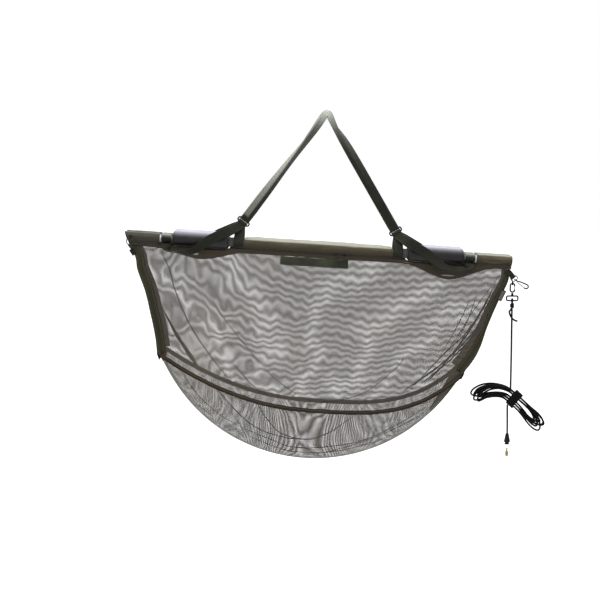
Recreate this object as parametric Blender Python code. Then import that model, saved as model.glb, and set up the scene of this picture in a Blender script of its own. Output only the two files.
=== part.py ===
# A floating weigh sling for large fish: two sleeved tubes with foam floats, a bag of fine
# mesh between them, webbing bridles and a carrying handle, and a safety cord with its clips.
# Metres, +Z up. The origin is the inside of the handle's fold, where a scale's hook holds it.
# The tubes run along X, and the front of the sling faces -Y.

import math

import bmesh
import bpy
from mathutils import Vector

for old in list(bpy.data.objects):
    bpy.data.objects.remove(old, do_unlink=True)

# Clearances and overruns
seat_gap = 0.0003
cut_overrun = 0.004

# Tubes, their end plugs and floats
hook_drop = 0.361
tube_length = 1.030
tube_diameter = 0.022
tube_wall = 0.0015
tube_spacing = 0.040
plug_depth = 0.016
plug_head = 0.003
float_diameter = 0.038
float_length = 0.150
float_centre = 0.318
float_edge_round = 0.006
float_play = 0.0005

# Sleeves of the tubes and the skirt below them
sleeve_length = 1.050
sleeve_play = 0.0006
sleeve_cloth = 0.0018
skirt_drop = 0.026
skirt_end_drop = 0.022
skirt_seam = 0.005
cutout_inner_margin = 0.003
cutout_outer_margin = 0.004
cutout_drop = 0.0205
left_dip_centre = 0.316
left_dip_drop = 0.049
right_dip_centre = 0.355
right_dip_drop = 0.060
dip_half_width = 0.125

# The bag: mesh panels, end gussets and bowl
net_cloth = 0.0010
rim_drop = 0.440
rim_half_depth = 0.062
panel_inset = 0.003
corner_drop = 0.310
bowl_radius = 0.4505
bowl_centre_drop = 0.1395
fold_depth = 0.0035
keel_gap = 0.0006
band_width = 0.024
band_return = 0.011
band_cloth = 0.0014
rim_seam = 0.0008
rim_tape_width = 0.008
rim_tape_cloth = 0.0014
end_tape_width = 0.020
end_tape_seam = 0.0001
left_rim_power = 2.0
right_rim_power = 3.5

# Edge of the bag between sleeve and corner: (share of the corner's drop, share of the way out
# from the corner to the sleeve's end)
left_edge_shares = ((0.07, 0.91), (0.165, 0.70), (0.28, 0.62), (0.47, 0.39), (0.69, 0.20), (0.865, 0.065),
                    (1.0, 0.0))
right_edge_shares = ((0.07, 0.93), (0.17, 0.935), (0.36, 0.72), (0.58, 0.50), (0.81, 0.31), (1.0, 0.0))

# Webbing: handle and bridles
webbing_width = 0.027
webbing_cloth = 0.0016
hook_bend_radius = 0.006
left_twist_power = 4
right_twist_power = 5
ring_centre_out = 0.207
ring_centre_rise = 0.058
ring_wire = 0.004
ring_play = 0.0015
ring_slot = 0.007
handle_tail = 0.042
ply_gap = 0.0006
inner_wrap_margin = 0.013
outer_wrap_margin = 0.005
left_slack_drop = 0.034
right_slack_drop = 0.030
slack_forward = 0.004
slack_run = 0.032
ring_lead = 0.005
outer_wrap_turn = math.radians(310)
inner_wrap_turn = math.radians(292)

# Trim on the front panel and the band edges
label_width = 0.185
label_height = 0.023
label_centre = -0.0085
label_top_drop = 0.027
label_cloth = 0.0009
side_tag_length = 0.031
side_tag_reach = 0.007
side_tag_drop = 0.093
pull_tab_length = 0.018
pull_tab_reach = 0.006
pull_tab_drop = 0.041
tag_cloth = 0.0012
tag_hold = 0.006

# Wire ring at the left end
keeper_ring_diameter = 0.023
keeper_ring_wire = 0.0025
keeper_ring_out = 0.507
keeper_ring_rise = -0.002
keeper_width = 0.005
keeper_cloth = 0.0010
keeper_tail = 0.007

# Right-hand tab with the spare clip
clip_tab_width = 0.014
clip_tab_out = 0.5195
clip_tab_rise = -0.031
clip_tab_length = 0.017
clip_tab_sewn = 0.007
clip_tab_turn = math.radians(45)
tab_ring_diameter = 0.012
tab_ring_wire = 0.0022
spare_length = 0.034
spare_width = 0.015
spare_wire = 0.0036
spare_turn = math.radians(28)
spare_eye_gap = math.radians(90)
spare_back_share = 0.3
spare_back_bow = 0.55
gate_wire = 0.0018
clip_plane = 0.033

# Safety cord: clip, swivel, eye and the cord
cord_lean = math.radians(3.74)
cord_clip_length = 0.028
cord_clip_width = 0.016
cord_clip_wire = 0.0042
upper_lip = 0.0020
lower_lip = 0.0010
loop_cord = 0.003
loop_rise = -0.040
cord_plane = 0.024
eye_past_sleeve = 0.010
eye_drop = 0.101
eye_width = 0.0347
eye_height = 0.0165
eye_wire = 0.004
swivel_length = 0.0060
swivel_diameter = 0.0065
cord_diameter = 0.004
knot_length = 0.013
knot_diameter = 0.0105
hank_step = 0.0066
hank_tip_step = 0.0135
hank_layer = 0.0046
hank_layers = 4
hank_layer_loops = 2
hank_loop_points = 24
hank_line_steps = 16
hank_lobe_halves = (0.028, 0.026, 0.024, 0.022)
waist_share = 0.1
lobe_share = 0.8
layer_change = 0.05
wrap_turns = 4
wrap_pitch = 0.0052
wrap_play = 0.0007

# The cord's routes below its knot, as (across, down, in front)
tail_start = (-0.0028, 0.0022)
tail_route = ((-0.0068, 0.0340, 0.0032), (-0.0078, 0.0370, 0.0040), (-0.0045, 0.0470, 0.0050),
              (0.0014, 0.0557, 0.0054), (0.0085, 0.0602, 0.0050), (0.0145, 0.0625, 0.0040))
upper_start = (0.0004, -0.0022)
upper_route = ((0.0004, 0.0500, -0.0010), (0.0010, 0.1200, 0.0), (0.0014, 0.1850, 0.0),
               (0.0016, 0.2502, 0.0))
lower_route = ((-0.0062, 0.2954, 0.0), (-0.0058, 0.3180, 0.0), (-0.0052, 0.3420, 0.0),
               (-0.0049, 0.3600, 0.0), (-0.0047, 0.3764, 0.0))
lower_cord_across = -0.0047
end_tab_start = 0.3764

# Middle lines of the tied hank, as (across, down): one shared through the waist, which is at its
# middle point, with the layers' own ends at each side of it
hank_middle = ((-0.0300, 0.2555), (-0.0085, 0.2620), (0.0124, 0.2790), (0.0340, 0.2990), (0.0500, 0.3160))
hank_lefts = (((-0.109, 0.266), (-0.082, 0.258), (-0.056, 0.254)),
              ((-0.106, 0.274), (-0.081, 0.261), (-0.055, 0.255)),
              ((-0.101, 0.282), (-0.079, 0.265), (-0.054, 0.256)),
              ((-0.094, 0.291), (-0.076, 0.270), (-0.053, 0.258)))
hank_rights = (((0.076, 0.337), (0.101, 0.357)), ((0.069, 0.344), (0.084, 0.370)),
               ((0.066, 0.341), (0.080, 0.362)), ((0.075, 0.335), (0.096, 0.351)))

# Fitting at the cord's end
end_tab_length = 0.029
end_tab_top_width = 0.008
end_tab_width = 0.017
end_tab_fold_width = 0.0105
end_tab_cloth = 0.0016
end_ring_width = 0.016
end_ring_height = 0.014
end_ring_wire = 0.0012
fitting_diameter = 0.008
fitting_length = 0.018
fitting_neck_diameter = 0.0045
fitting_eye_diameter = 0.0062
fitting_eye_wire = 0.0015

# Places that follow from the sizes above
tube_height = -hook_drop
tube_radius = tube_diameter / 2
bore_radius = tube_radius - tube_wall
sleeve_bore = tube_radius + sleeve_play
sleeve_radius = sleeve_bore + sleeve_cloth
float_radius = float_diameter / 2
half_spacing = tube_spacing / 2
sleeve_half = sleeve_length / 2
corner_out = math.sqrt(bowl_radius**2 - (corner_drop - bowl_centre_drop) ** 2)
keel_drop = bowl_centre_drop + bowl_radius
outer_wrap_out = float_centre + float_length / 2 + webbing_width / 2 + outer_wrap_margin
inner_wrap_out = float_centre - float_length / 2 - webbing_width / 2 - inner_wrap_margin
cutout_outer = outer_wrap_out + webbing_width / 2 + cutout_outer_margin
cutout_inner = inner_wrap_out - webbing_width / 2 - cutout_inner_margin
eye_out = sleeve_half + eye_past_sleeve
wrap_radius = tube_radius + seat_gap + webbing_cloth / 2

# Round steps
round_steps = 20
bend_steps = 8
leg_steps = 14
stop_steps = 4
eye_steps = 8
ring_sides = 8

# The safety cord hangs straight down while the sling hangs a little low on the right
hang_across = Vector((math.cos(cord_lean), 0, math.sin(cord_lean)))
hang_down = Vector((math.sin(cord_lean), 0, -math.cos(cord_lean)))
hang_front = Vector((0, -1, 0))
eye_centre = Vector((eye_out, -cord_plane, tube_height - eye_drop))


def from_tubes(x, y, rise):
    return Vector((x, y, tube_height + rise))


def on_cord(across, down, front=0.0):
    return eye_centre + hang_across * across + hang_down * down + hang_front * front


# Materials
def material(name, colour, roughness, metallic=0.0):
    made = bpy.data.materials.get(name)
    if made is None:
        made = bpy.data.materials.new(name)
        made.use_nodes = True
        shader = made.node_tree.nodes["Principled BSDF"]
        shader.inputs["Base Color"].default_value = (*colour, 1.0)
        shader.inputs["Roughness"].default_value = roughness
        shader.inputs["Metallic"].default_value = metallic
    return made


sleeve_fabric = material("sleeve_fabric", (0.075, 0.068, 0.040), 0.75)
band_fabric = material("band_fabric", (0.045, 0.045, 0.025), 0.8)
tape_fabric = material("tape_fabric", (0.075, 0.050, 0.028), 0.8)
net_fabric = material("net_fabric", (0.16, 0.15, 0.13), 0.7)
green_webbing = material("green_webbing", (0.040, 0.044, 0.034), 0.65)
label_fabric = material("label_fabric", (0.035, 0.040, 0.030), 0.7)
black_fabric = material("black_fabric", (0.012, 0.012, 0.012), 0.75)
black_cord = material("black_cord", (0.010, 0.010, 0.010), 0.7)
float_foam = material("float_foam", (0.085, 0.075, 0.080), 0.6)
bare_aluminium = material("bare_aluminium", (0.75, 0.76, 0.78), 0.3, 1.0)
black_metal = material("black_metal", (0.02, 0.02, 0.02), 0.35, 0.9)
plated_steel = material("plated_steel", (0.6, 0.6, 0.6), 0.3, 1.0)
plug_plastic = material("plug_plastic", (0.02, 0.02, 0.02), 0.5)
dull_brass = material("dull_brass", (0.36, 0.30, 0.18), 0.4, 1.0)


# Moving groups, each with an empty on its joint's axis
handle_leg = Vector((ring_centre_out, 0, ring_centre_rise - hook_drop))
handle_leg_down = handle_leg.normalized()
upper_bar_back = (ring_slot + ring_wire) / 2
ring_axis_height = tube_height + ring_centre_rise - handle_leg_down.z * upper_bar_back
tab_end = from_tubes(clip_tab_out, -clip_plane, clip_tab_rise) + Vector(
    (math.cos(clip_tab_turn), 0, -math.sin(clip_tab_turn))) * clip_tab_length
spare_along = Vector((math.cos(spare_turn), 0, -math.sin(spare_turn)))
spare_across = Vector((-math.sin(spare_turn), 0, -math.cos(spare_turn)))
tab_turn_down = Vector((math.cos(clip_tab_turn), 0, -math.sin(clip_tab_turn)))
tab_turn_side = Vector((math.sin(clip_tab_turn), 0, math.cos(clip_tab_turn)))
ring_far_bar = tab_end + tab_turn_down * (tab_ring_diameter - tab_ring_wire)
spare_eye_radius = (tab_ring_wire + spare_wire) / 2 + seat_gap * 2
spare_root = ring_far_bar + spare_along * (spare_eye_radius + spare_wire)
cord_clip_bottom = -(eye_height / 2 + swivel_length + seat_gap * 2)
cord_clip_top = cord_clip_bottom - cord_clip_length
clip_hang = on_cord(0, cord_clip_top + cord_clip_wire / 2)
knot_top = eye_height / 2 - eye_wire / 2 + ((eye_wire + cord_diameter) / 2 + seat_gap) * 1.7
knot_bottom = knot_top + knot_length
clip_half = (cord_clip_width - cord_clip_wire) / 2
end_ring_top = on_cord(lower_cord_across, end_tab_start + end_tab_length)
end_ring_bottom = end_ring_top + hang_down * end_ring_height
keeper_fold = keeper_ring_wire / 2 + seat_gap * 3 + keeper_cloth / 2
keeper_point = from_tubes(-keeper_ring_out, -half_spacing - sleeve_radius - seat_gap * 2
                          - keeper_cloth / 2 - keeper_fold, keeper_ring_rise)

pivots = {
    "handle": Vector((0, 0, 0)),
    "front_half": Vector((0, 0, ring_axis_height)),
    "back_half": from_tubes(0, 0, -keel_drop - net_cloth * 2),
    "left_ring": keeper_point,
    "tab_ring": tab_end,
    "spare_clip": ring_far_bar,
    "spare_gate": spare_root + spare_across * ((spare_wire + gate_wire) / 2 + seat_gap),
    "cord_clip": clip_hang,
    "cord_gate": on_cord(clip_half, cord_clip_bottom - cord_clip_wire / 2 - clip_half - lower_lip - seat_gap),
    "cord_line": eye_centre,
    "end_ring": end_ring_top,
    "end_fitting": end_ring_bottom,
}
empties = {}
for body, pivot in pivots.items():
    empties[body] = bpy.data.objects.new(body + "_pivot", None)
    empties[body].location = pivot
    bpy.context.collection.objects.link(empties[body])


# Every piece is drawn in place and then hung on its group's empty
def keep(name, body, shape, look, smooth_angle=None):
    bmesh.ops.recalc_face_normals(shape, faces=shape.faces)
    bmesh.ops.translate(shape, verts=shape.verts, vec=-pivots[body])
    mesh = bpy.data.meshes.new(name)
    shape.to_mesh(mesh)
    shape.free()
    mesh.materials.append(look)
    if smooth_angle is not None:
        mesh.shade_smooth()
        mesh.set_sharp_from_angle(angle=smooth_angle)
    piece = bpy.data.objects.new(name, mesh)
    piece.parent = empties[body]
    bpy.context.collection.objects.link(piece)
    return piece


soft_angle = math.radians(40)


# A strap or tape: a flat section carried along a path, with its width turned to given ways
def strap_shape(path, ways, width, cloth, square=True):
    shape = bmesh.new()
    rings = []
    for i, point in enumerate(path):
        ahead = path[min(i + 1, len(path) - 1)] - path[max(i - 1, 0)]
        ahead.normalize()
        across = (ways[i] - ahead * ways[i].dot(ahead)).normalized() if square else ways[i]
        out = ahead.cross(across).normalized()
        half = (width[i] if isinstance(width, list) else width) / 2
        corners = ((-half, -cloth / 2), (half, -cloth / 2), (half, cloth / 2), (-half, cloth / 2))
        rings.append([shape.verts.new(point + across * a + out * b) for a, b in corners])
    for first, second in zip(rings, rings[1:]):
        for k in range(4):
            shape.faces.new((first[k], first[(k + 1) % 4], second[(k + 1) % 4], second[k]))
    shape.faces.new(rings[0][::-1])
    shape.faces.new(rings[-1])
    return shape


# A piece turned about an axis from a closed profile of (radius, place along the axis)
def turned_shape(profile, start, axis, steps=round_steps):
    shape = bmesh.new()
    side = axis.orthogonal().normalized()
    verts = [shape.verts.new(start + side * r + axis * a) for r, a in profile]
    on_axis = [r == 0 for r, _ in profile]
    edges = []
    for i, vert in enumerate(verts):
        j = (i + 1) % len(verts)
        if not (on_axis[i] and on_axis[j]):
            edges.append(shape.edges.new((vert, verts[j])))
    bmesh.ops.spin(shape, geom=edges, cent=start, axis=axis, angle=2 * math.pi, steps=steps,
                   use_merge=True)
    bmesh.ops.remove_doubles(shape, verts=shape.verts, dist=seat_gap / 10)
    return shape


# A flat plate from an outline, thickened along one way
def plate_shape(outline, way):
    shape = bmesh.new()
    face = shape.faces.new([shape.verts.new(p - way / 2) for p in outline])
    made = bmesh.ops.extrude_face_region(shape, geom=[face])
    moved = [g for g in made["geom"] if isinstance(g, bmesh.types.BMVert)]
    bmesh.ops.translate(shape, verts=moved, vec=way)
    return shape


# A sheet of mesh cloth from a grid of points, thickened both ways
def cloth_piece(name, body, rows, look):
    shape = bmesh.new()
    grid = [[shape.verts.new(p) for p in row] for row in rows]
    for low, high in zip(grid, grid[1:]):
        for k in range(len(low) - 1):
            shape.faces.new((low[k], low[k + 1], high[k + 1], high[k]))
    piece = keep(name, body, shape, look, soft_angle)
    thick = piece.modifiers.new("cloth", "SOLIDIFY")
    thick.thickness = net_cloth
    thick.offset = 0
    return piece


# Straight wire between two points, with one at its middle
def straight_route(start, end):
    return [start, (start + end) / 2, end]


# Round wire or cord along points
def wire_piece(name, body, points, diameter, look, closed=False, resolution=2):
    line = bpy.data.curves.new(name, "CURVE")
    line.dimensions = "3D"
    line.bevel_depth = diameter / 2
    line.bevel_resolution = resolution
    line.use_fill_caps = not closed
    spline = line.splines.new("POLY")
    spline.points.add(len(points) - 1)
    for i, point in enumerate(points):
        spline.points[i].co = (*(point - pivots[body]), 1)
    spline.use_cyclic_u = closed
    line.materials.append(look)
    piece = bpy.data.objects.new(name, line)
    piece.parent = empties[body]
    bpy.context.collection.objects.link(piece)
    return piece


# Points on a smooth curve through the given ones
def smooth_route(points, steps):
    ends = [points[0] * 2 - points[1], *points, points[-1] * 2 - points[-2]]
    made = []
    for a, b, c, d in zip(ends, ends[1:], ends[2:], ends[3:]):
        for k in range(steps):
            t = k / steps
            made.append((b * 2 + (c - a) * t + (a * 2 - b * 5 + c * 4 - d) * t**2
                         + (b * 3 - a - c * 3 + d) * t**3) / 2)
    return [*made, points[-1]]


# A round ring of wire as a solid mesh, to be joined to a turned piece
def ring_shape(points, normal, wire):
    shape = bmesh.new()
    rings = []
    for i, point in enumerate(points):
        ahead = (points[(i + 1) % len(points)] - points[i - 1]).normalized()
        out = ahead.cross(normal)
        rings.append([shape.verts.new(point + (out * math.cos(a) + normal * math.sin(a)) * wire / 2)
                      for a in (2 * math.pi * k / ring_sides for k in range(ring_sides))])
    for i, first in enumerate(rings):
        second = rings[(i + 1) % len(rings)]
        for k in range(ring_sides):
            shape.faces.new((first[k], first[k - 1], second[k - 1], second[k]))
    return shape


def join_ring(piece, body, ring, look):
    other = keep(piece.name + "_ring_part", body, ring, look, soft_angle)
    other.hide_render = True
    other.display_type = "WIRE"
    join = piece.modifiers.new("join", "BOOLEAN")
    join.object = other
    join.operation = "UNION"


# The same number of points again, evenly spaced along the line
def even_route(points, count):
    along = [0.0]
    for a, b in zip(points, points[1:]):
        along.append(along[-1] + (b - a).length)
    made = []
    k = 0
    for i in range(count):
        want = along[-1] * i / (count - 1)
        while k < len(points) - 2 and along[k + 1] < want:
            k += 1
        made.append(points[k].lerp(points[k + 1], (want - along[k]) / (along[k + 1] - along[k])))
    return made


def rounded_loop(centre, across, along, width, height, corner):
    points = []
    for turn, (sx, sy) in enumerate(((1, 1), (-1, 1), (-1, -1), (1, -1))):
        middle = centre + across * sx * (width / 2 - corner) + along * sy * (height / 2 - corner)
        for k in range(4):
            angle = math.pi / 2 * (turn + k / 3)
            points.append(middle + (across * math.cos(angle) + along * math.sin(angle)) * corner)
    return points


# Reads a table of (place, value) as a smooth line
def read_shares(table, place):
    if place <= table[0][0]:
        return table[0][1]
    if place >= table[-1][0]:
        return table[-1][1]
    k = max(i for i, (p, _) in enumerate(table) if p <= place)
    k = min(k, len(table) - 2)
    rise = []
    for i in (k, k + 1):
        low, high = max(i - 1, 0), min(i + 1, len(table) - 1)
        rise.append((table[high][1] - table[low][1]) / (table[high][0] - table[low][0]))
    span = table[k + 1][0] - table[k][0]
    t = (place - table[k][0]) / span
    return ((2 * t**3 - 3 * t**2 + 1) * table[k][1] + (t**3 - 2 * t**2 + t) * span * rise[0]
            + (3 * t**2 - 2 * t**3) * table[k + 1][1] + (t**3 - t**2) * span * rise[1])


# Lines of the bag, as drops below the tubes' height
def edge_out(hand, drop):
    share = read_shares(left_edge_shares if hand < 0 else right_edge_shares, drop / corner_drop)
    return corner_out + (sleeve_half - corner_out) * share


def rim_at(x):
    power = left_rim_power if x < 0 else right_rim_power
    return corner_drop + (rim_drop - corner_drop) * (1 - min(1.0, abs(x) / corner_out) ** power)


def keel_at(x):
    return bowl_centre_drop + math.sqrt(bowl_radius**2 - x**2)


def panel_depth(drop):
    return half_spacing + (rim_half_depth - half_spacing) * drop / rim_drop


def skirt_at(x):
    ends = max(0.0, (abs(x) - cutout_outer) / (sleeve_half - cutout_outer))
    low = skirt_drop + (skirt_end_drop - skirt_drop) * min(1.0, ends)
    for middle, drop in ((-left_dip_centre, left_dip_drop), (right_dip_centre, right_dip_drop)):
        away = abs(x - middle) / dip_half_width
        if away < 1:
            low = max(low, low + (drop - low) * math.cos(away * math.pi / 2) ** 2)
    return low


# How far the skirt hangs out from below its tube, so that the panel's top lies behind it
def skirt_out(drop):
    return panel_depth(drop) - half_spacing + net_cloth / 2 + seat_gap + sleeve_cloth / 2


edge_steps = 14


def edge_drops(hand):
    top, low = skirt_end_drop + seat_gap * 4, corner_drop + seat_gap
    return [top + (low - top) * j / edge_steps for j in range(edge_steps + 1)]


# Tube, plugs, floats and sleeve of one side
def tube_pieces(side, face):
    body = side + "_half"
    along = Vector((1, 0, 0))
    start = from_tubes(0, face * half_spacing, 0)
    half = tube_length / 2
    wall = ((tube_radius, -half), (tube_radius, half), (bore_radius, half), (bore_radius, -half))
    keep(side + "_tube", body, turned_shape(wall, start, along), bare_aluminium, soft_angle)
    plug = tube_radius - tube_wall - seat_gap
    for hand, word in ((-1, "left"), (1, "right")):
        outline = ((0, half - plug_depth), (plug, half - plug_depth), (plug, half + seat_gap),
                   (tube_radius, half + seat_gap), (tube_radius, half + plug_head), (0, half + plug_head))
        shape = turned_shape(outline, start, along * hand)
        keep(f"{side}_tube_{word}_plug", body, shape, plug_plastic, soft_angle)
        inner, bore = float_length / 2, tube_radius + float_play
        edge = float_edge_round
        foam = [(bore, -inner), (bore, inner)]
        for end in (1, -1):
            for k in range(3):
                angle = math.pi / 4 * (2 - k if end > 0 else k)
                foam.append((float_radius - edge + edge * math.cos(angle),
                             end * (inner - edge + edge * math.sin(angle))))
        middle = start + along * hand * float_centre
        keep(f"{side}_{word}_float", body, turned_shape(foam, middle, along), float_foam, soft_angle)


# The sleeve: a round tunnel with a skirt below it, opened at the floats by two cut-outs
def sleeve_piece(side, face):
    body = side + "_half"
    shape = bmesh.new()
    places = [-sleeve_half, -cutout_outer, cutout_outer, sleeve_half, 0]
    for middle in (-left_dip_centre, right_dip_centre):
        places += [middle + dip_half_width * (k / 4 - 1) for k in range(9)]
    places = sorted(p for p in places if abs(p) <= sleeve_half)
    rings = []
    for x in places:
        low = skirt_at(x)
        inner = skirt_out(sleeve_radius) - sleeve_cloth / 2
        outer = inner + sleeve_cloth
        begin = math.asin(outer / sleeve_radius) - math.pi / 2
        end = math.asin(inner / sleeve_radius) - math.pi / 2 + 2 * math.pi
        ring = [(skirt_out(low) + sleeve_cloth / 2, -low)]
        for k in range(round_steps + 1):
            angle = begin + (end - begin) * k / round_steps
            ring.append((sleeve_radius * math.cos(angle), sleeve_radius * math.sin(angle)))
        ring.append((skirt_out(low) - sleeve_cloth / 2, -low))
        rings.append([shape.verts.new(from_tubes(x, face * (half_spacing + y), z)) for y, z in ring])
    for first, second in zip(rings, rings[1:]):
        for k in range(len(first)):
            near = (k + 1) % len(first)
            shape.faces.new((first[k], first[near], second[near], second[k]))
    shape.faces.new(rings[0])
    shape.faces.new(rings[-1][::-1])
    sleeve = keep(side + "_sleeve", body, shape, sleeve_fabric, soft_angle)
    axis = Vector((1, 0, 0))
    reach = sleeve_half + cut_overrun
    core = turned_shape(((0, -reach), (sleeve_bore, -reach), (sleeve_bore, reach), (0, reach)),
                        from_tubes(0, face * half_spacing, 0), axis)
    cutters = [keep(side + "_tunnel_cutter", body, core, sleeve_fabric)]
    for hand, word in ((-1, "left"), (1, "right")):
        top, wide = sleeve_radius + cut_overrun, sleeve_radius + cut_overrun
        window = ((cutout_inner, -cutout_drop), (cutout_outer, -cutout_drop), (cutout_outer, top),
                  (cutout_inner, top))
        corners = [from_tubes(hand * x, face * half_spacing, z) for x, z in window]
        box = plate_shape(corners, Vector((0, wide * 2, 0)))
        cutters.append(keep(f"{side}_{word}_cutter", body, box, sleeve_fabric))
    for cutter in cutters:
        cutter.hide_render = True
        cutter.display_type = "WIRE"
        cut = sleeve.modifiers.new("cut", "BOOLEAN")
        cut.object = cutter
        cut.operation = "DIFFERENCE"


panel_columns = 22
panel_rows = 7
panel_folds = 3.5
fold_slant = 0.8
bowl_columns = 24
bowl_rows = 5
rim_steps = 28


# Mesh panel below the sleeve, with the long folds that hang in it
def panel_piece(side, face):
    rows = []
    top = skirt_end_drop - skirt_seam
    for j in range(panel_rows + 1):
        v = j / panel_rows
        level = top + (corner_drop - top) * v
        left, right = -edge_out(-1, level) + panel_inset, edge_out(1, level) - panel_inset
        row = []
        for i in range(panel_columns + 1):
            u = i / panel_columns
            x = left + (right - left) * u
            high = skirt_at(x) - skirt_seam
            low = rim_at(x) - rim_seam
            drop = high + (low - high) * v
            fold = math.sin(math.pi * v) ** 2 * math.sin(math.pi * u)
            fold *= math.sin(2 * math.pi * (panel_folds * u + fold_slant * v))
            row.append(from_tubes(x, face * (panel_depth(drop) + fold_depth * fold), -drop))
        rows.append(row)
    cloth_piece(side + "_panel", side + "_half", rows, net_fabric)


# Half of the bowl below the rim, which closes on the keel seam
def bowl_piece(side, face):
    rows = []
    reach = corner_out - rim_tape_width * 1.5
    for j in range(bowl_rows + 1):
        angle = math.pi / 2 * j / bowl_rows
        row = []
        for i in range(bowl_columns + 1):
            x = reach * math.sin(math.pi / 2 * (2 * i / bowl_columns - 1))
            high, low = rim_at(x) + rim_seam, keel_at(x)
            drop = high + (low - high) * math.sin(angle)
            deep = (panel_depth(high) - keel_gap) * math.cos(angle) + keel_gap
            row.append(from_tubes(x, face * deep, -drop))
        rows.append(row)
    cloth_piece(side + "_bowl", side + "_half", rows, net_fabric)


# End gusset halves, from the panel's edge to the middle of the sling's end
def gusset_piece(side, face, hand, word):
    rows = []
    for drop in edge_drops(hand)[:-1]:
        x = hand * edge_out(hand, drop)
        deep = panel_depth(drop) - net_cloth / 2 - seat_gap
        rows.append([from_tubes(x, face * (keel_gap + (deep - keel_gap) * k), -drop) for k in range(2)])
    cloth_piece(f"{side}_{word}_gusset", side + "_half", rows, net_fabric)


# Side band: an angle of cloth folded round the panel's edge on to the gusset
def band_piece(side, face, hand, word):
    shape = bmesh.new()
    rings = []
    drops = edge_drops(hand)
    step = (drops[1] - drops[0]) / 2
    skin, gap = band_cloth, net_cloth / 2 + seat_gap
    outer = gap + skin
    section = ((outer - band_width, gap), (outer - band_width, outer), (outer, outer),
               (outer, -band_return), (gap, -band_return), (gap, gap))
    for drop in drops:
        slope = (edge_out(hand, drop + step) - edge_out(hand, drop - step)) / (2 * step)
        run = Vector((hand, 0, slope)).normalized()
        ring = []
        for a, b in section:
            lower = max(drop - run.z * a, drops[0] + seat_gap)
            ring.append(shape.verts.new(from_tubes(hand * edge_out(hand, drop) + run.x * a,
                                                   face * (panel_depth(lower) + b), -lower)))
        rings.append(ring)
    for first, second in zip(rings, rings[1:]):
        for k in range(6):
            shape.faces.new((first[k], first[(k + 1) % 6], second[(k + 1) % 6], second[k]))
    shape.faces.new(rings[0])
    shape.faces.new(rings[-1][::-1])
    keep(f"{side}_{word}_band", side + "_half", shape, band_fabric)


# Binding along the rim between the side bands, and across each end of the bag
def rim_pieces(side, face):
    reach = corner_out - band_width - seat_gap
    path = []
    for i in range(rim_steps + 1):
        x = reach * (2 * i / rim_steps - 1)
        deep = panel_depth(rim_at(x)) + net_cloth / 2 + seat_gap + rim_tape_cloth / 2
        path.append(from_tubes(x, face * deep, -rim_at(x)))
    ways = [Vector((0, 0, 1))] * len(path)
    tape = strap_shape(path, ways, rim_tape_width, rim_tape_cloth)
    keep(side + "_rim_tape", side + "_half", tape, tape_fabric)
    for hand, word in ((-1, "left"), (1, "right")):
        deep = panel_depth(corner_drop)
        slant = math.atan2(corner_drop - bowl_centre_drop, corner_out)
        way = Vector((-hand * math.sin(slant), 0, -math.cos(slant)))
        out = Vector((hand * math.cos(slant), 0, -math.sin(slant)))
        middle = from_tubes(hand * corner_out, 0, -corner_drop) + way * (end_tape_width / 2 + end_tape_seam)
        middle += out * (net_cloth / 2 + seat_gap * 2 + rim_tape_cloth)
        path = [middle + Vector((0, face * (keel_gap + (deep - keel_gap) * k / 4), 0)) for k in range(5)]
        shape = strap_shape(path, [way] * 5, end_tape_width, rim_tape_cloth)
        keep(f"{side}_{word}_end_tape", side + "_half", shape, tape_fabric)


for side, face in (("front", -1), ("back", 1)):
    tube_pieces(side, face)
    sleeve_piece(side, face)
    panel_piece(side, face)
    bowl_piece(side, face)
    rim_pieces(side, face)
    for hand, word in ((-1, "left"), (1, "right")):
        gusset_piece(side, face, hand, word)
        band_piece(side, face, hand, word)


# Handle and bridles meet at a flat loop of black wire on each side
def ring_frame(hand):
    down = Vector((handle_leg_down.x * hand, 0, handle_leg_down.z))
    across = Vector((-handle_leg_down.z, 0, handle_leg_down.x * hand))
    centre = from_tubes(hand * ring_centre_out, 0, ring_centre_rise)
    return centre, down, across


def ring_piece(hand, word):
    centre, down, across = ring_frame(hand)
    width = webbing_width + ring_play * 2 + ring_wire
    loop = rounded_loop(centre, across, down, width, ring_slot + ring_wire, ring_wire)
    wire_piece(word + "_bridle_ring", "front_half", loop, ring_wire, black_metal, closed=True)


# Points round part of a circle that lies in two given ways
def half_turn(centre, first, second, radius, start, end, steps=bend_steps):
    angles = [start + (end - start) * k / steps for k in range(steps + 1)]
    return [centre + (first * math.cos(a) + second * math.sin(a)) * radius for a in angles]


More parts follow.
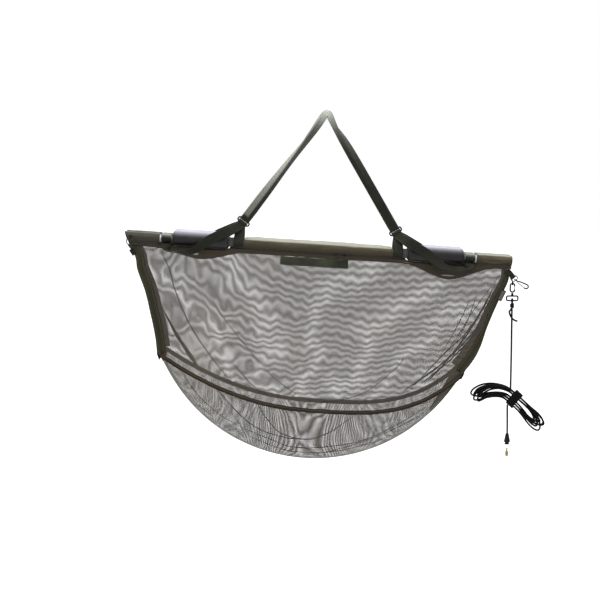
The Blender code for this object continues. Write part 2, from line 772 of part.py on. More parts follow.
# Handle: from a folded tail at one ring, over the hook and down to the other ring
def handle_piece():
    fold = ring_wire / 2 + seat_gap + webbing_cloth / 2
    ply = webbing_cloth / 2 + ply_gap / 2
    front = Vector((0, -1, 0))
    sides = {}
    for hand in (-1, 1):
        centre, down, across = ring_frame(hand)
        bar = centre - down * upper_bar_back
        tail = [bar - down * (handle_tail * k / 3) - front * ply for k in (3, 2)]
        tail.append(bar - down * (fold * 3) - front * ply)
        around = half_turn(bar, -front, down, fold, 0, math.pi)
        leg = [bar - down * (fold * 3) + front * ply]
        apex = Vector((0, 0, -hook_bend_radius)) + Vector((-down.z * hand, 0, down.x * hand)) * (
            hook_bend_radius + webbing_cloth / 2)
        for k in range(1, leg_steps):
            t = k / leg_steps
            leg.append(leg[0].lerp(apex, t))
        ways = [across] * (len(tail) + len(around) + 1)
        twist = math.pi / 2
        for k in range(1, leg_steps):
            t = k / leg_steps
            turn = twist * t ** (right_twist_power if hand > 0 else left_twist_power)
            ways.append(across * math.cos(turn) + Vector((0, hand, 0)) * math.sin(turn))
        sides[hand] = (tail + around + leg, ways)
    bend = []
    lean = math.atan2(handle_leg_down.x, -handle_leg_down.z)
    for k in range(bend_steps + 1):
        angle = lean + (math.pi - 2 * lean) * k / bend_steps
        bend.append(Vector((math.cos(angle), 0, math.sin(angle))) * (hook_bend_radius + webbing_cloth / 2)
                    + Vector((0, 0, -hook_bend_radius)))
    right, right_ways = sides[1]
    left, left_ways = sides[-1]
    path = right + bend + left[::-1]
    ways = right_ways + [Vector((0, 1, 0))] * len(bend) + [-w for w in left_ways[::-1]]
    shape = strap_shape(path, ways, webbing_width, webbing_cloth)
    keep("handle_strap", "handle", shape, green_webbing, soft_angle)


# A bridle strap: from round one tube, up over the ring's lower bar, and down round the other tube
def bridle_piece(hand, word, kind):
    centre, down, across = ring_frame(hand)
    bar = centre + down * upper_bar_back
    outer = kind == "outer"
    fold = ring_wire / 2 + seat_gap * 2 + webbing_cloth / 2 + (webbing_cloth + seat_gap * 3 if outer else 0)
    front = Vector((0, -1, 0))
    path = half_turn(bar, -down, front, fold, 0, math.pi / 2)
    path.append(path[-1] + down * ring_lead)
    ways = [across] * len(path)
    wrap_out = hand * (outer_wrap_out if outer else inner_wrap_out)
    tube = from_tubes(wrap_out, -half_spacing, 0)
    side_way = Vector((1, 0, 0))
    up = Vector((0, 0, 1))
    if outer:
        ahead_of_float = half_spacing + float_radius + seat_gap * 12 + webbing_cloth
        slack = right_slack_drop if hand > 0 else left_slack_drop
        slack_front = ahead_of_float + slack_forward
        stops = [
            (float_centre - float_length / 2, ahead_of_float * 0.9, ring_centre_rise * 0.56, 0.0),
            (float_centre - float_length / 6, ahead_of_float, ring_centre_rise * 0.1, 0.05),
            (float_centre + float_length / 8, slack_front, -slack * 0.78, 0.5),
            (outer_wrap_out - slack_run, slack_front, -slack, 0.9),
            (outer_wrap_out - slack_run / 5, ahead_of_float, -slack * 0.86, 1.0),
            (outer_wrap_out, half_spacing + wrap_radius * 1.2, -wrap_radius * 1.3, 1.0),
        ]
        begin = -math.pi * 0.5
        tour = half_turn(tube, front, up, wrap_radius, begin, begin - outer_wrap_turn, bend_steps * 2)
        places = [from_tubes(hand * out, -ahead, rise) for out, ahead, rise, _ in stops]
        route = smooth_route([path[-1], *places, tour[0]], stop_steps)
        twists = [0.0, *[turn for _, _, _, turn in stops], 1.0]
        for k in range(1, len(route) - 1):
            t = k / stop_steps
            low = min(int(t), len(twists) - 2)
            twist = twists[low] + (twists[low + 1] - twists[low]) * (t - low)
            ahead = (route[k + 1] - route[k - 1]).normalized()
            face_on = ahead.cross(front).normalized() * hand
            if face_on.dot(across) < 0:
                face_on = -face_on
            flat = ahead.cross(up).normalized()
            if flat.dot(front) > 0:
                flat = -flat
            blend = (across * max(0.0, 1 - t) + face_on * min(1.0, t)).normalized()
            way = blend * math.cos(twist * math.pi / 2) + flat * math.sin(twist * math.pi / 2)
            path.append(route[k])
            ways.append(way)
        path += tour
        ways += [side_way] * len(tour)
    else:
        reach = path[-1]
        away = Vector((0, reach.y - tube.y, reach.z - tube.z))
        far = away.length
        lift = math.acos(wrap_radius / far)
        middle = math.atan2(away.z, -away.y)
        begin = middle - lift
        tour = half_turn(tube, front, up, wrap_radius, begin, begin - inner_wrap_turn, bend_steps * 2)
        for k in range(1, 8):
            t = k / 8
            path.append(reach.lerp(tour[0], t))
            ways.append(across.lerp(side_way, t).normalized())
        path += tour
        ways += [side_way] * len(tour)
    back = [Vector((p.x, -p.y, p.z)) for p in path[:0:-1]]
    back_ways = [Vector((w.x, -w.y, w.z)) for w in ways[:0:-1]]
    shape = strap_shape(back + path, back_ways + ways, webbing_width, webbing_cloth, square=False)
    keep(f"{word}_{kind}_bridle", "front_half", shape, green_webbing, soft_angle)


handle_piece()
for hand, word in ((-1, "left"), (1, "right")):
    ring_piece(hand, word)
    bridle_piece(hand, word, "inner")
    bridle_piece(hand, word, "outer")


# Plain label patch on the front panel, and the two small tabs sewn in at the band edges
def trim_pieces():
    out = Vector((0, -label_cloth, 0))
    ahead = net_cloth / 2 + seat_gap * 2 + label_cloth / 2
    corners = []
    for sx, sz in ((-1, 0), (1, 0), (1, 1), (-1, 1)):
        drop = label_top_drop + label_height * sz
        corners.append(from_tubes(label_centre + sx * label_width / 2, -panel_depth(drop) - ahead, -drop))
    keep("label_patch", "front_half", plate_shape(corners, out), label_fabric)
    for name, hand, drop, length, reach, look in (
            ("side_tag", 1, side_tag_drop, side_tag_length, side_tag_reach, label_fabric),
            ("pull_tab", -1, pull_tab_drop, pull_tab_length, pull_tab_reach, black_fabric)):
        slope = (edge_out(hand, drop + length / 2) - edge_out(hand, drop - length / 2)) / length
        run = Vector((hand, 0, slope)).normalized()
        down = Vector((hand * slope, 0, -1)).normalized()
        outline = []
        for a, b in ((-1, 0), (1, 0), (1, 1), (-1, 1)):
            flat = down * (length / 2 * a) + run * (band_cloth - tag_hold + (tag_hold + reach) * b)
            lower = drop - flat.z
            ahead = panel_depth(lower) + net_cloth / 2 + seat_gap * 2 + band_cloth + tag_cloth / 2
            outline.append(from_tubes(hand * edge_out(hand, drop) + flat.x, -ahead, -lower))
        keep(name, "front_half", plate_shape(outline, Vector((0, tag_cloth, 0))), look)


# Wire ring in its keeper loop at the left end of the front sleeve
def keeper_pieces():
    radius = keeper_ring_diameter / 2 - keeper_ring_wire / 2
    middle = keeper_point - Vector((0, 0, radius))
    loop = []
    for k in range(round_steps):
        angle = 2 * math.pi * k / round_steps
        loop.append(middle + Vector((math.sin(angle), 0, math.cos(angle))) * radius)
    wire_piece("left_wire_ring", "left_ring", loop, keeper_ring_wire, plated_steel, closed=True)
    fold = keeper_fold
    back = Vector((0, 1, 0))
    up = Vector((0, 0, 1))
    path = [keeper_point + back * fold + up * keeper_tail, keeper_point + back * fold + up * fold]
    path += half_turn(keeper_point, back, -up, fold, 0, math.pi)
    close = fold - keeper_cloth - seat_gap
    path += [keeper_point - back * fold * 0.4 + up * fold, keeper_point + back * close + up * fold * 2.2,
             keeper_point + back * close + up * keeper_tail]
    ways = [Vector((1, 0, 0))] * len(path)
    keep("ring_keeper", "front_half", strap_shape(path, ways, keeper_width, keeper_cloth), black_fabric)


# Webbing tab on the right-hand band, with the ring in its fold and the spare clip on the ring
def spare_clip_pieces():
    front = Vector((0, -1, 0))
    fold = tab_ring_wire / 2 + seat_gap * 2 + keeper_cloth / 2
    ply = keeper_cloth / 2 + ply_gap / 2
    start = tab_end - tab_turn_down * clip_tab_length
    sewn = start - tab_turn_down * clip_tab_sewn
    band_front = panel_depth(-clip_tab_rise) + net_cloth / 2 + seat_gap + band_cloth
    sewn.y = -band_front - seat_gap - ply - keeper_cloth / 2
    path = [sewn - front * ply, start - front * ply, tab_end - tab_turn_down * fold * 3 - front * ply]
    path += half_turn(tab_end, -front, tab_turn_down, fold, 0, math.pi)
    path += [tab_end - tab_turn_down * fold * 3 + front * ply, start + front * ply, sewn + front * ply]
    ways = [tab_turn_side] * len(path)
    keep("clip_tab", "front_half", strap_shape(path, ways, clip_tab_width, keeper_cloth), green_webbing)
    bar = clip_tab_width + seat_gap * 4 + tab_ring_wire
    middle = tab_end + tab_turn_down * (tab_ring_diameter - tab_ring_wire) / 2
    reach = tab_ring_diameter - tab_ring_wire
    loop = rounded_loop(middle, tab_turn_side, tab_turn_down, bar, reach, tab_ring_wire)
    wire_piece("tab_ring", "tab_ring", loop, tab_ring_wire, black_metal, closed=True)
    eye = []
    for k in range(eye_steps + 1):
        angle = spare_eye_gap * 0.8 + (2 * math.pi - spare_eye_gap) * k / eye_steps
        out = spare_along * math.cos(angle) + front * math.sin(angle)
        eye.append(ring_far_bar + out * spare_eye_radius)
    line = clip_line(spare_root, spare_along, spare_across, spare_length, (spare_width - spare_wire) / 2)
    wire_piece("spare_clip", "spare_clip", eye + line, spare_wire, black_metal)
    gate = pivots["spare_gate"]
    tip = line[-1] - spare_along * seat_gap * 2
    wire_piece("spare_gate", "spare_gate", straight_route(gate, tip), gate_wire, plated_steel)


# Points of the spare clip's wire: from its root along the back, round the nose, to the mouth
def clip_line(root, along, across, length, half):
    nose = length - half - spare_wire / 2
    points = [root, root + along * nose * spare_back_share - across * half * spare_back_bow]
    for k in range(7):
        angle = math.pi * k / 6
        points.append(root + along * (nose + half * math.sin(angle)) - across * half * math.cos(angle))
    points.append(root + along * (nose - half * 0.5) + across * half * 0.97)
    return smooth_route(points, 2)


# Cord loop on the band, and the clip that hangs from it with its sprung gate
def cord_clip_pieces():
    front = Vector((0, -1, 0))
    up = -hang_down
    fold = (cord_clip_wire + loop_cord) / 2 + seat_gap
    edge = edge_out(1, -loop_rise) + net_cloth / 2 + band_cloth + seat_gap * 3 + loop_cord / 2
    seat = from_tubes(edge, 0, loop_rise)
    depth = panel_depth(-loop_rise) + net_cloth / 2
    under = half_turn(clip_hang, -front, hang_down, fold, 0, math.pi)
    points = [Vector((seat.x, -depth + loop_cord * 1.2, seat.z)), seat.lerp(under[0], 0.35)]
    points[1].y = under[0].y
    points += [under[0] + up * fold * 1.2, *under, under[-1] + up * fold * 1.2]
    last = seat.lerp(under[-1], 0.35)
    last.y = under[-1].y
    points += [last, Vector((seat.x, -depth - loop_cord * 0.4, seat.z + loop_cord))]
    wire_piece("cord_loop", "front_half", points, loop_cord, black_cord)
    top, low = cord_clip_top + cord_clip_wire / 2, cord_clip_bottom - cord_clip_wire / 2
    points = [on_cord(clip_half, top + clip_half + upper_lip)]
    for k in range(7):
        angle = math.pi * k / 6
        points.append(on_cord(clip_half * math.cos(angle), top + clip_half * (1 - math.sin(angle))))
    for k in range(7):
        angle = math.pi * k / 6
        points.append(on_cord(-clip_half * math.cos(angle), low - clip_half * (1 - math.sin(angle))))
    points.append(on_cord(clip_half, low - clip_half - lower_lip))
    wire_piece("cord_clip", "cord_clip", points, cord_clip_wire, black_metal)
    start, end = points[-1] + up * seat_gap, points[0] + hang_down * seat_gap
    wire_piece("cord_gate", "cord_gate", straight_route(start, end), gate_wire, plated_steel)


# Swivel, flat eye and the bight of cord knotted through it
def cord_eye_pieces():
    bottom = -eye_height / 2 + eye_wire / 2
    neck = swivel_diameter / 2
    long = swivel_length + eye_wire / 2
    profile = ((0, 0), (neck * 0.8, 0), (neck, long * 0.25), (neck, long * 0.75), (neck * 0.8, long),
               (0, long))
    shape = turned_shape(profile, on_cord(0, bottom), -hang_down, 12)
    eye = keep("cord_eye", "cord_line", shape, black_metal, soft_angle)
    wide, tall = eye_width - eye_wire, eye_height - eye_wire
    loop = rounded_loop(eye_centre, hang_across, hang_down, wide, tall, eye_wire * 0.9)
    join_ring(eye, "cord_line", ring_shape(loop, hang_front, eye_wire), black_metal)
    fold = (eye_wire + cord_diameter) / 2 + seat_gap
    bar = eye_height / 2 - eye_wire / 2
    over = half_turn(on_cord(0, bar), hang_front, -hang_down, fold, 0, math.pi)
    leg = knot_diameter / 4
    straight = knot_top - cord_diameter * 0.6
    points = [on_cord(0, knot_top - seat_gap, leg), on_cord(0, straight, leg), *over,
              on_cord(0, straight, -leg), on_cord(0, knot_top - seat_gap, -leg)]
    wire_piece("cord_bight", "cord_line", points, cord_diameter, black_cord)
    lobes = [(0, 0)]
    half = knot_diameter / 2
    turns = 3
    for k in range(turns * 4 + 1):
        swell = 0.8 + 0.2 * abs(math.sin(math.pi * k / 4))
        lobes.append((half * swell, knot_length * k / (turns * 4)))
    lobes.append((0, knot_length))
    shape = turned_shape(lobes, on_cord(0, knot_top), hang_down, 12)
    keep("cord_knot", "cord_line", shape, black_cord, soft_angle)


def cord_run(name, start, route, spacing):
    smooth = smooth_route([on_cord(*place) for place in route], 12)
    long = sum((b - a).length for a, b in zip(smooth, smooth[1:]))
    points = [on_cord(*place) for place in start] + even_route(smooth, round(long / spacing) + 1)
    wire_piece(name, "cord_line", points, cord_diameter, black_cord)


# One layer's middle line in the hank, and how far along it each point lies from the waist
def layer_line(left, right):
    points = smooth_route([on_cord(a, b) for a, b in (*left, *hank_middle, *right)], hank_line_steps)
    lengths = [0.0]
    for first, second in zip(points, points[1:]):
        lengths.append(lengths[-1] + (second - first).length)
    waist = lengths[(len(left) + len(hank_middle) // 2) * hank_line_steps]
    return points, [length - waist for length in lengths]


hank_lines = [layer_line(left, right) for left, right in zip(hank_lefts, hank_rights)]


def line_ahead(points, k):
    low, high = max(k - 6, 0), min(k + 6, len(points) - 1)
    return (points[high] - points[low]).normalized()


# A place on a layer's line at a length from the waist, and the way across the line there
def hank_frame(line, along):
    points, lengths = line
    k = min(max(i for i, length in enumerate(lengths) if length <= along), len(points) - 2)
    share = (along - lengths[k]) / (lengths[k + 1] - lengths[k])
    ahead = line_ahead(points, k).lerp(line_ahead(points, k + 1), share).normalized()
    return points[k].lerp(points[k + 1], share), ahead.cross(hang_front)


waist_half = hank_step * (hank_layer_loops + 0.5)


# The hank: loops piled in layers, each layer spiralling in or out along its own line
def hank_pieces():
    turns = hank_layers * hank_layer_loops
    points = []
    for i in range(turns * hank_loop_points + 1):
        turn = i / hank_loop_points
        angle = math.pi / 2 + 2 * math.pi * turn
        layer = min(math.floor(turn / hank_layer_loops), hank_layers - 1)
        within = turn - layer * hank_layer_loops
        inset = within if layer % 2 == 0 else hank_layer_loops - within
        nearest = round(turn / hank_layer_loops)
        away = (turn - nearest * hank_layer_loops) / layer_change
        level = layer
        if abs(away) < 1 and 0 < nearest < hank_layers:
            level = nearest - 0.5 + away / 2
        line = hank_lines[layer]
        reach = line[1][-1] if math.cos(angle) > 0 else -line[1][0]
        along = (reach - hank_tip_step * inset) * math.cos(angle)
        open_share = min(1.0, max(0.0, (abs(along) / reach - waist_share) / lobe_share))
        open_share = open_share**2 * (3 - 2 * open_share)
        half = waist_half + (hank_lobe_halves[layer] - waist_half) * open_share - hank_step * inset
        place, side = hank_frame(line, along)
        depth = (level - (hank_layers - 1) / 2) * hank_layer
        points.append(place + side * half * math.sin(angle) + hang_front * depth)
    wire_piece("hank", "cord_line", points, cord_diameter, black_cord, resolution=1)
    report_gap("hank", points, hank_loop_points // 3)
    wraps = wrap_route()
    wire_piece("hank_wrap", "cord_line", wraps, cord_diameter, black_cord, resolution=1)
    report_gap("hank_wrap", wraps, hank_loop_points // 3)


# The cord's turns round the hank's waist: round each corner of the bundle, then straight on
def wrap_route():
    reach = (hank_layers - 1) / 2 * hank_layer
    bend = cord_diameter + wrap_play
    corners = ((1, 1), (-1, 1), (-1, -1), (1, -1))
    wraps = []
    for i in range(wrap_turns * hank_loop_points + 1):
        corner, k = divmod(i % hank_loop_points, 6)
        place, side = hank_frame(hank_lines[0], wrap_pitch * (i / hank_loop_points - wrap_turns / 2))
        middle, other = [place + side * waist_half * sx + hang_front * reach * sy
                         for sx, sy in (corners[corner], corners[(corner + 1) % 4])]
        if k < 5:
            angle = math.pi / 2 * (corner + k / 4)
            wraps.append(middle + (side * math.cos(angle) + hang_front * math.sin(angle)) * bend)
        else:
            angle = math.pi / 2 * (corner + 1)
            run = (side * math.cos(angle) + hang_front * math.sin(angle)) * bend
            wraps.append((middle + other) / 2 + run)
    return wraps


# Prints the least gap between turns, measured on points along the tube
def report_gap(name, points, apart):
    fine = []
    for a, b in zip(points, points[1:]):
        fine += [a.lerp(b, k / 4) for k in range(4)]
    least = min((a - b).length for i, a in enumerate(fine) for b in fine[i + apart * 4:])
    long = sum((b - a).length for a, b in zip(points, points[1:]))
    print(f"{name}: least gap to itself {(least - cord_diameter) * 1000:.2f} mm, length {long:.3f} m")


# The tab, ring and brass fitting at the cord's end
def end_pieces():
    front = hang_front
    fold = end_ring_wire / 2 + seat_gap * 2 + end_tab_cloth / 2
    ply = end_tab_cloth / 2 + ply_gap / 2
    start = on_cord(lower_cord_across, end_tab_start + seat_gap)
    steps = 5
    down = [start.lerp(end_ring_top, k / steps) for k in range(steps)]
    widen = (end_tab_width - end_tab_top_width) / (steps - 1)
    widths = [end_tab_top_width + widen * k for k in range(steps)]
    near = end_ring_top - hang_down * fold * 1.6
    path = [p - front * ply for p in down] + [near - front * ply]
    path += half_turn(end_ring_top, -front, hang_down, fold, 0, math.pi)
    path += [near + front * ply] + [p + front * ply for p in down[::-1]]
    widths += [end_tab_fold_width] * (bend_steps + 3) + widths[::-1]
    shape = strap_shape(path, [hang_across] * len(path), widths, end_tab_cloth)
    keep("end_tab", "cord_line", shape, black_fabric)
    corner = end_ring_wire
    half = end_ring_width / 2
    loop = [end_ring_top + hang_across * (half - corner) * hand for hand in (-1, 1)]
    for k in range(9):
        angle = math.pi * (0.1 - 1.2 * k / 8)
        fall = hang_down * end_ring_height / 2 * (1 - math.sin(angle))
        loop.append(end_ring_top + fall + hang_across * half * math.cos(angle))
    wire_piece("end_ring", "end_ring", loop, end_ring_wire, plated_steel, closed=True)
    eye_radius = (fitting_eye_diameter - fitting_eye_wire) / 2
    eye = end_ring_bottom + hang_down * (eye_radius - (end_ring_wire + fitting_eye_wire) / 2 - seat_gap)
    circle = [eye + (hang_down * math.cos(a) + front * math.sin(a)) * eye_radius
              for a in (2 * math.pi * k / 12 for k in range(12))]
    top = eye + hang_down * (eye_radius - fitting_eye_wire / 6)
    neck, body, long = fitting_neck_diameter / 2, fitting_diameter / 2, fitting_length
    profile = ((0, 0), (neck, 0), (neck, long * 0.22), (body, long * 0.32), (body, long * 0.92),
               (body * 0.85, long), (0, long))
    shape = turned_shape(profile, top, hang_down, 12)
    fitting = keep("end_fitting", "end_fitting", shape, dull_brass, soft_angle)
    join_ring(fitting, "end_fitting", ring_shape(circle, hang_across, fitting_eye_wire), dull_brass)


keeper_pieces()
trim_pieces()
spare_clip_pieces()
cord_clip_pieces()
cord_eye_pieces()
for name, (across, front), route, spacing in (("cord_upper", upper_start, upper_route, 3),
                                              ("cord_tail", tail_start, tail_route, 2)):
    knot_end = (across, knot_bottom + seat_gap, front)
    below_knot = (across, knot_bottom + seat_gap + cord_diameter, front)
    cord_run(name, [knot_end], [below_knot, *route], cord_diameter * spacing)
cord_run("cord_lower", [], lower_route, cord_diameter * 3)
hank_pieces()
end_pieces()
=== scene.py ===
import math

import bpy
from mathutils import Matrix, Vector, noise


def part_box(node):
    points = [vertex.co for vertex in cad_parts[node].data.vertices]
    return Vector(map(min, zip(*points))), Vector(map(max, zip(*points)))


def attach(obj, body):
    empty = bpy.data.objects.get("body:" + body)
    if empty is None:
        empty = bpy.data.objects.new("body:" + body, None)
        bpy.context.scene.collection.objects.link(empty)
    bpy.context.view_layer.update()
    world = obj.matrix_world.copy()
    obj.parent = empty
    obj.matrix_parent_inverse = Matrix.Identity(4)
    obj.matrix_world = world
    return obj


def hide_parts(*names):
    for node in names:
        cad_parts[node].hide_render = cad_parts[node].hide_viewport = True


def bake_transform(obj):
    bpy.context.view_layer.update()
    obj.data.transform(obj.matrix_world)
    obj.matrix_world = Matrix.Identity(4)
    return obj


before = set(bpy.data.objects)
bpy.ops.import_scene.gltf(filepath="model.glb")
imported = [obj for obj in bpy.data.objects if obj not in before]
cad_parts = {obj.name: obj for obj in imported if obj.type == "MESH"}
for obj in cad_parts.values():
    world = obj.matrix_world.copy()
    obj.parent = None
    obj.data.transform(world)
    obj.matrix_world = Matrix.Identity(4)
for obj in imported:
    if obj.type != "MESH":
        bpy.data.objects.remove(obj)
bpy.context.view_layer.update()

# Weigh sling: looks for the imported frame. Metres, +Z up, front at -Y.
bpy.ops.object.select_all(action="DESELECT")

sling = {
    "tubeHeight": -0.361, "tubeApart": 0.020, "tubeRadius": 0.011, "sleeveHalf": 0.525, "sleeveRadius": 0.0134,
    "floatOut": 0.318, "floatLength": 0.150, "floatRadius": 0.019, "lean": math.radians(3.74),
    "eye": (0.535, -0.024, -0.462), "gap": 0.0003,
}
bag = {
    "rimDrop": 0.440, "rimHalfDepth": 0.062, "cornerDrop": 0.310, "bowlRadius": 0.4505, "bowlCentreDrop": 0.1395,
    "netCloth": 0.001, "leftPower": 2.0, "rightPower": 3.5,
    "leftEdge": ((0.07, 0.91), (0.165, 0.70), (0.28, 0.62), (0.47, 0.39), (0.69, 0.20), (0.865, 0.065), (1.0, 0.0)),
    "rightEdge": ((0.07, 0.93), (0.17, 0.935), (0.36, 0.72), (0.58, 0.50), (0.81, 0.31), (1.0, 0.0)),
}
bag["cornerOut"] = math.sqrt(bag["bowlRadius"] ** 2 - (bag["cornerDrop"] - bag["bowlCentreDrop"]) ** 2)
skirt = {
    "drop": 0.026, "endDrop": 0.022, "seam": 0.005, "cutInner": 0.200, "cutOuter": 0.429, "cutDrop": 0.0205,
    "cloth": 0.0018, "dips": ((-0.316, 0.049), (0.355, 0.060)), "dipHalf": 0.125,
}
netFace = bag["netCloth"] / 2 + sling["gap"]
halves = (("front", -1), ("back", 1))
hands = (("left", -1), ("right", 1))


# Shares, and places on the sling
def clamp(share):
    return min(1.0, max(0.0, share))


def ease(share):
    return share**2 * (3 - 2 * share)


def between(low, high, share):
    return low + (high - low) * share


def fromTubes(x, y, rise):
    return Vector((x, y, sling["tubeHeight"] + rise))


acrossCord = Vector((math.cos(sling["lean"]), 0, math.sin(sling["lean"])))
downCord = Vector((math.sin(sling["lean"]), 0, -math.cos(sling["lean"])))
frontWay, upWay = Vector((0, -1, 0)), Vector((0, 0, 1))


def onCord(across, down, front=0.0):
    return Vector(sling["eye"]) + acrossCord * across + downCord * down + frontWay * front


def readTable(table, place):
    if place <= table[0][0]:
        return table[0][1]
    if place >= table[-1][0]:
        return table[-1][1]
    k = min(max(i for i, (p, _) in enumerate(table) if p <= place), len(table) - 2)
    rise = []
    for i in (k, k + 1):
        low, high = max(i - 1, 0), min(i + 1, len(table) - 1)
        rise.append((table[high][1] - table[low][1]) / (table[high][0] - table[low][0]))
    span = table[k + 1][0] - table[k][0]
    t = (place - table[k][0]) / span
    return ((2 * t**3 - 3 * t**2 + 1) * table[k][1] + (t**3 - 2 * t**2 + t) * span * rise[0]
            + (3 * t**2 - 2 * t**3) * table[k + 1][1] + (t**3 - t**2) * span * rise[1])


def edgeOut(hand, drop):
    share = readTable(bag["leftEdge"] if hand < 0 else bag["rightEdge"], drop / bag["cornerDrop"])
    return between(bag["cornerOut"], sling["sleeveHalf"], share)


def rimAt(x):
    power = bag["leftPower"] if x < 0 else bag["rightPower"]
    return between(bag["cornerDrop"], bag["rimDrop"], 1 - min(1.0, abs(x) / bag["cornerOut"]) ** power)


def keelAt(x):
    return bag["bowlCentreDrop"] + math.sqrt(bag["bowlRadius"] ** 2 - x**2)


def panelDepth(drop):
    return between(sling["tubeApart"], bag["rimHalfDepth"], drop / bag["rimDrop"])


def skirtAt(x):
    ends = clamp((abs(x) - skirt["cutOuter"]) / (sling["sleeveHalf"] - skirt["cutOuter"]))
    low = between(skirt["drop"], skirt["endDrop"], ends)
    for middle, drop in skirt["dips"]:
        away = abs(x - middle) / skirt["dipHalf"]
        if away < 1:
            low = max(low, between(low, drop, math.cos(away * math.pi / 2) ** 2))
    return low


def skirtOut(drop):
    return panelDepth(drop) - sling["tubeApart"] + netFace + skirt["cloth"] / 2


def smoothRoute(points, steps):
    ends = [points[0] * 2 - points[1], *points, points[-1] * 2 - points[-2]]
    made = []
    for a, b, c, d in zip(ends, ends[1:], ends[2:], ends[3:]):
        for k in range(steps):
            t = k / steps
            made.append((b * 2 + (c - a) * t + (a * 2 - b * 5 + c * 4 - d) * t**2
                         + (b * 3 - a - c * 3 + d) * t**3) / 2)
    return [*made, points[-1]]


def lengthsAlong(points):
    made = [0.0]
    for a, b in zip(points, points[1:]):
        made.append(made[-1] + (b - a).length)
    return made


def evenRoute(points, count):
    along = lengthsAlong(points)
    made, k = [], 0
    for i in range(count):
        want = along[-1] * i / (count - 1)
        while k < len(points) - 2 and along[k + 1] < want:
            k += 1
        made.append(points[k].lerp(points[k + 1], (want - along[k]) / (along[k + 1] - along[k])))
    return made


def aheadAt(path, i, reach=1):
    return (path[min(i + reach, len(path) - 1)] - path[max(i - reach, 0)]).normalized()


def partTurn(centre, first, second, radius, start, end, steps):
    angles = [start + (end - start) * k / steps for k in range(steps + 1)]
    return [centre + (first * math.cos(a) + second * math.sin(a)) * radius for a in angles]


def ripple(x, y, seed):
    return noise.noise(Vector((x, y, seed)))      # smooth, from -1 to 1, the same on every run


# Materials
def tone(colour, share=1.0):
    made = []
    for part in colour:
        c = part * share / 255
        made.append(c / 12.92 if c <= 0.04045 else ((c + 0.055) / 1.055) ** 2.4)
    return (*made, 1.0)


def feed(tree, node, values):
    for key, value in values.items():
        if isinstance(value, bpy.types.NodeSocket):
            tree.links.new(value, node.inputs[key])
        else:
            node.inputs[key].default_value = value
    return node


def put(tree, kind, values={}, **settings):
    node = tree.nodes.new("ShaderNode" + kind)
    for key, value in settings.items():
        setattr(node, key, value)
    return feed(tree, node, values)


def calc(tree, operation, first, second=0.0, third=0.0):
    return put(tree, "Math", {0: first, 1: second, 2: third}, operation=operation).outputs[0]


def paint(tree, colour, *coats):          # each coat is a mask and a colour
    for mask, over in coats:
        colour = put(tree, "Mix", {0: mask, 6: colour, 7: over}, data_type="RGBA").outputs[2]
    return colour


def ramp(tree, value, start, end, low=0.0, high=1.0):
    return put(tree, "MapRange", {0: value, 1: start, 2: end, 3: low, 4: high}).outputs[0]


def axes(tree, place):
    return put(tree, "SeparateXYZ", {0: place}).outputs


def cloudy(tree, place, scale, detail, rough=0.5, **settings):
    return put(tree, "TexNoise", {"Vector": place, "Scale": scale, "Detail": detail, "Roughness": rough},
               **settings).outputs[0]


def startGroup(name, **inputs):           # an input without a value is a place
    tree = bpy.data.node_groups.new(name, "ShaderNodeTree")
    for label, value in inputs.items():
        kind = "NodeSocketVector" if value is None else "NodeSocketFloat"
        socket = tree.interface.new_socket(name=label, in_out="INPUT", socket_type=kind)
        if value is not None:
            socket.default_value = value
    return tree, tree.nodes.new("NodeGroupInput").outputs


def endGroup(tree, **outputs):
    for label in outputs:
        tree.interface.new_socket(name=label, in_out="OUTPUT", socket_type="NodeSocketFloat")
    feed(tree, tree.nodes.new("NodeGroupOutput"), outputs)
    return tree


def useGroup(tree, group, **values):
    return put(tree, "Group", values, node_tree=group).outputs


def stripes(tree, place, pitch):          # 0 at the thread's edges, 1 on its back
    turned = calc(tree, "MULTIPLY", calc(tree, "DIVIDE", place, pitch), math.pi)
    return calc(tree, "ABSOLUTE", calc(tree, "SINE", turned))


# Plain weave: over and under threads on the piece's own flat map
tree, enter = startGroup("plainWeave", Flat=None, Pitch=0.001)
split = axes(tree, enter["Flat"])
overs, unders = [stripes(tree, split[k], enter["Pitch"]) for k in (0, 1)]
cells = [calc(tree, "FLOOR", calc(tree, "DIVIDE", split[k], enter["Pitch"])) for k in (0, 1)]
which = calc(tree, "PINGPONG", calc(tree, "ADD", *cells), 1.0)
high = put(tree, "Mix", {0: which, 2: overs, 3: unders}).outputs[0]
weaveGroup = endGroup(tree, Height=high, Shade=calc(tree, "MULTIPLY_ADD", high, 0.5, 0.5))

# Webbing: lengthwise cords crossed by chevron ribs
tree, enter = startGroup("webbingRibs", Flat=None, Rib=0.0016, Cord=0.0034)
split = axes(tree, enter["Flat"])
slanted = calc(tree, "ADD", split[1], calc(tree, "PINGPONG", split[0], enter["Cord"]))
rows = calc(tree, "MULTIPLY_ADD", stripes(tree, split[0], enter["Cord"]), 0.5, 0.5)
high = calc(tree, "MULTIPLY", stripes(tree, slanted, enter["Rib"]), rows)
ribGroup = endGroup(tree, Height=high, Shade=calc(tree, "MULTIPLY_ADD", high, 0.55, 0.45))

# A run of stitches along the piece, at a distance across it
tree, enter = startGroup("stitchRun", Flat=None, Across=0.0, Pitch=0.004, Thread=0.0009)
split = axes(tree, enter["Flat"])
away = calc(tree, "ABSOLUTE", calc(tree, "SUBTRACT", split[0], enter["Across"]))
near = calc(tree, "LESS_THAN", away, calc(tree, "DIVIDE", enter["Thread"], 2.0))
dash = calc(tree, "LESS_THAN", calc(tree, "FRACT", calc(tree, "DIVIDE", split[1], enter["Pitch"])), 0.72)
stitchGroup = endGroup(tree, Mask=calc(tree, "MULTIPLY", near, dash))

